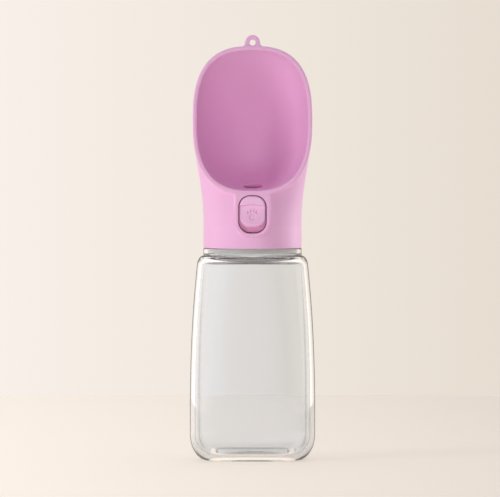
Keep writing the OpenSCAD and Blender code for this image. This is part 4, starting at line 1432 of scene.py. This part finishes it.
def stage_world(look):
    """Background seen past the floor, and the soft light of the room."""
    world = bpy.data.worlds.new("studio")
    bpy.context.scene.world = world
    world.use_nodes = True
    tree = world.node_tree
    tree.nodes.clear()
    path = add_node(tree, "ShaderNodeLightPath").outputs
    mirrored = maths(tree, "MAXIMUM", path["Is Transmission Ray"], path["Is Glossy Ray"])
    way = add_node(tree, "ShaderNodeTexCoord").outputs["Generated"]
    parts = add_node(tree, "ShaderNodeSeparateXYZ", {"Vector": way}).outputs
    # painted shade: the background is lighter at the left and darker at the right, in what the
    # camera sees and in what the pieces mirror
    share = ranged(tree, parts["X"], 0, 1, -0.036, 0.036)
    tone = two_colours(tree, share, look.wall_left, look.wall_right)
    along = maths(tree, "MULTIPLY", parts["Y"], parts["Y"])
    framed = background(tree, tone, ranged(tree, along, look.band, 1, 0.5, 0.9))
    soft = background(tree, (1, 0.985, 0.97, 1), look.room)
    around = two_shaders(tree, mirrored, soft, framed)
    mixed = two_shaders(tree, path["Is Camera Ray"], around, background(tree, tone, 1.0))
    add_node(tree, "ShaderNodeOutputWorld", {"Surface": mixed})


def area_lamp(name, place, aim, size, power, lit=None):
    """A soft rectangular lamp. One for certain pieces is mirrored in them, the rest nowhere."""
    lamp = bpy.data.lights.new(name, "AREA")
    lamp.shape = "RECTANGLE"
    lamp.size, lamp.size_y = size
    lamp.energy = power
    holder = bpy.data.objects.new(name, lamp)
    holder.location = place
    holder.rotation_euler = (Vector(aim) - Vector(place)).to_track_quat("-Z", "Y").to_euler()
    holder.visible_camera = False
    holder.visible_transmission = False
    holder.visible_glossy = bool(lit)
    if lit:
        holder.light_linking.receiver_collection = lit
    bpy.context.scene.collection.objects.link(holder)


def stage_camera(look):
    """A long lens in front of the bottle, a little above its middle."""
    camera = bpy.data.cameras.new("camera")
    camera.sensor_width = 36
    camera.lens = camera.sensor_width * CAMERA_BACK / look.frame_width
    camera.clip_end = 100
    holder = bpy.data.objects.new("camera", camera)
    holder.location = (AIM.x, -CAMERA_BACK, CAMERA_HEIGHT)
    holder.rotation_euler = (AIM - holder.location).to_track_quat("-Z", "Y").to_euler()
    bpy.context.scene.collection.objects.link(holder)
    bpy.context.scene.camera = holder


class MakeStage(bpy.types.Operator):
    """Make the floor, the background, the lamps and the camera."""

    bl_idname = "travel_bottle.stage"
    bl_label = "Stage"

    def execute(self, context):
        look = context.scene.stage_look
        context.scene.view_settings.view_transform = "Standard"
        stage_floor(look)
        stage_world(look)
        middle = (0, 0, 0.15)
        area_lamp("key_lamp", (-1.7, -1.1, 0.45), middle, (0.6, 0.7), look.key)
        area_lamp("top_lamp", (0, 0.2, 2.5), (0, 0.1, 0), (3, 3), look.top)
        # these shape the pink pieces alone and leave the clear bottle plain
        pink = bpy.data.collections.new("pink_pieces")
        area_lamp("fill_lamp", (0.1, -2, 0.12), middle, (1.4, 0.3), look.fill, pink)
        area_lamp("left_lamp", (-1.5, 0.15, 0.5), middle, (0.5, 1.3), 0.6 * look.edge, pink)
        area_lamp("right_lamp", (1.4, 0.6, 0.4), middle, (0.5, 1.1), 1.6 * look.edge, pink)
        stage_camera(look)
        return {"FINISHED"}


# ---------------------------------------------------------------- panel and registration


class TravelBottlePanel(bpy.types.Panel):
    """Lists the pieces of the travel bottle."""

    bl_idname = "VIEW3D_PT_travel_bottle"
    bl_label = "Travel Bottle"
    bl_space_type = "VIEW_3D"
    bl_region_type = "UI"
    bl_category = "Travel Bottle"

    def draw(self, context):
        layout = self.layout
        for operator in OPERATORS:
            layout.operator(operator.bl_idname)
        for owner in SETTINGS:
            group = getattr(context.scene, owner)
            for name in group.__annotations__:
                layout.prop(group, name)


OPERATORS = (
    MakeStage,
    MakeClearBottle,
    MakeScoopHead,
    MakeInnerCap,
    MakeSeals,
    MakeValveMouldings,
    MakeFasteners,
    MakeValveSpring,
    MakeButtonCarrier,
    MakeButton,
)

SETTINGS = {
    "bottle_sizes": BottleSizes,
    "scoop_sizes": ScoopSizes,
    "button_sizes": ButtonSizes,
    "bottle_finishes": Finishes,
    "stage_look": StageLook,
}


def register():
    """Registers the classes and puts the settings on the scene."""
    for cls in (*SETTINGS.values(), *OPERATORS, TravelBottlePanel):
        bpy.utils.register_class(cls)
    for name, cls in SETTINGS.items():
        setattr(bpy.types.Scene, name, bpy.props.PointerProperty(type=cls))


def unregister():
    """Takes the settings and the classes away again."""
    for name in SETTINGS:
        delattr(bpy.types.Scene, name)
    for cls in reversed((*SETTINGS.values(), *OPERATORS, TravelBottlePanel)):
        bpy.utils.unregister_class(cls)


def main():
    """Builds every piece in order."""
    register()
    for operator in OPERATORS:
        group, name = operator.bl_idname.split(".")
        getattr(getattr(bpy.ops, group), name)()


if __name__ == "__main__":
    main()
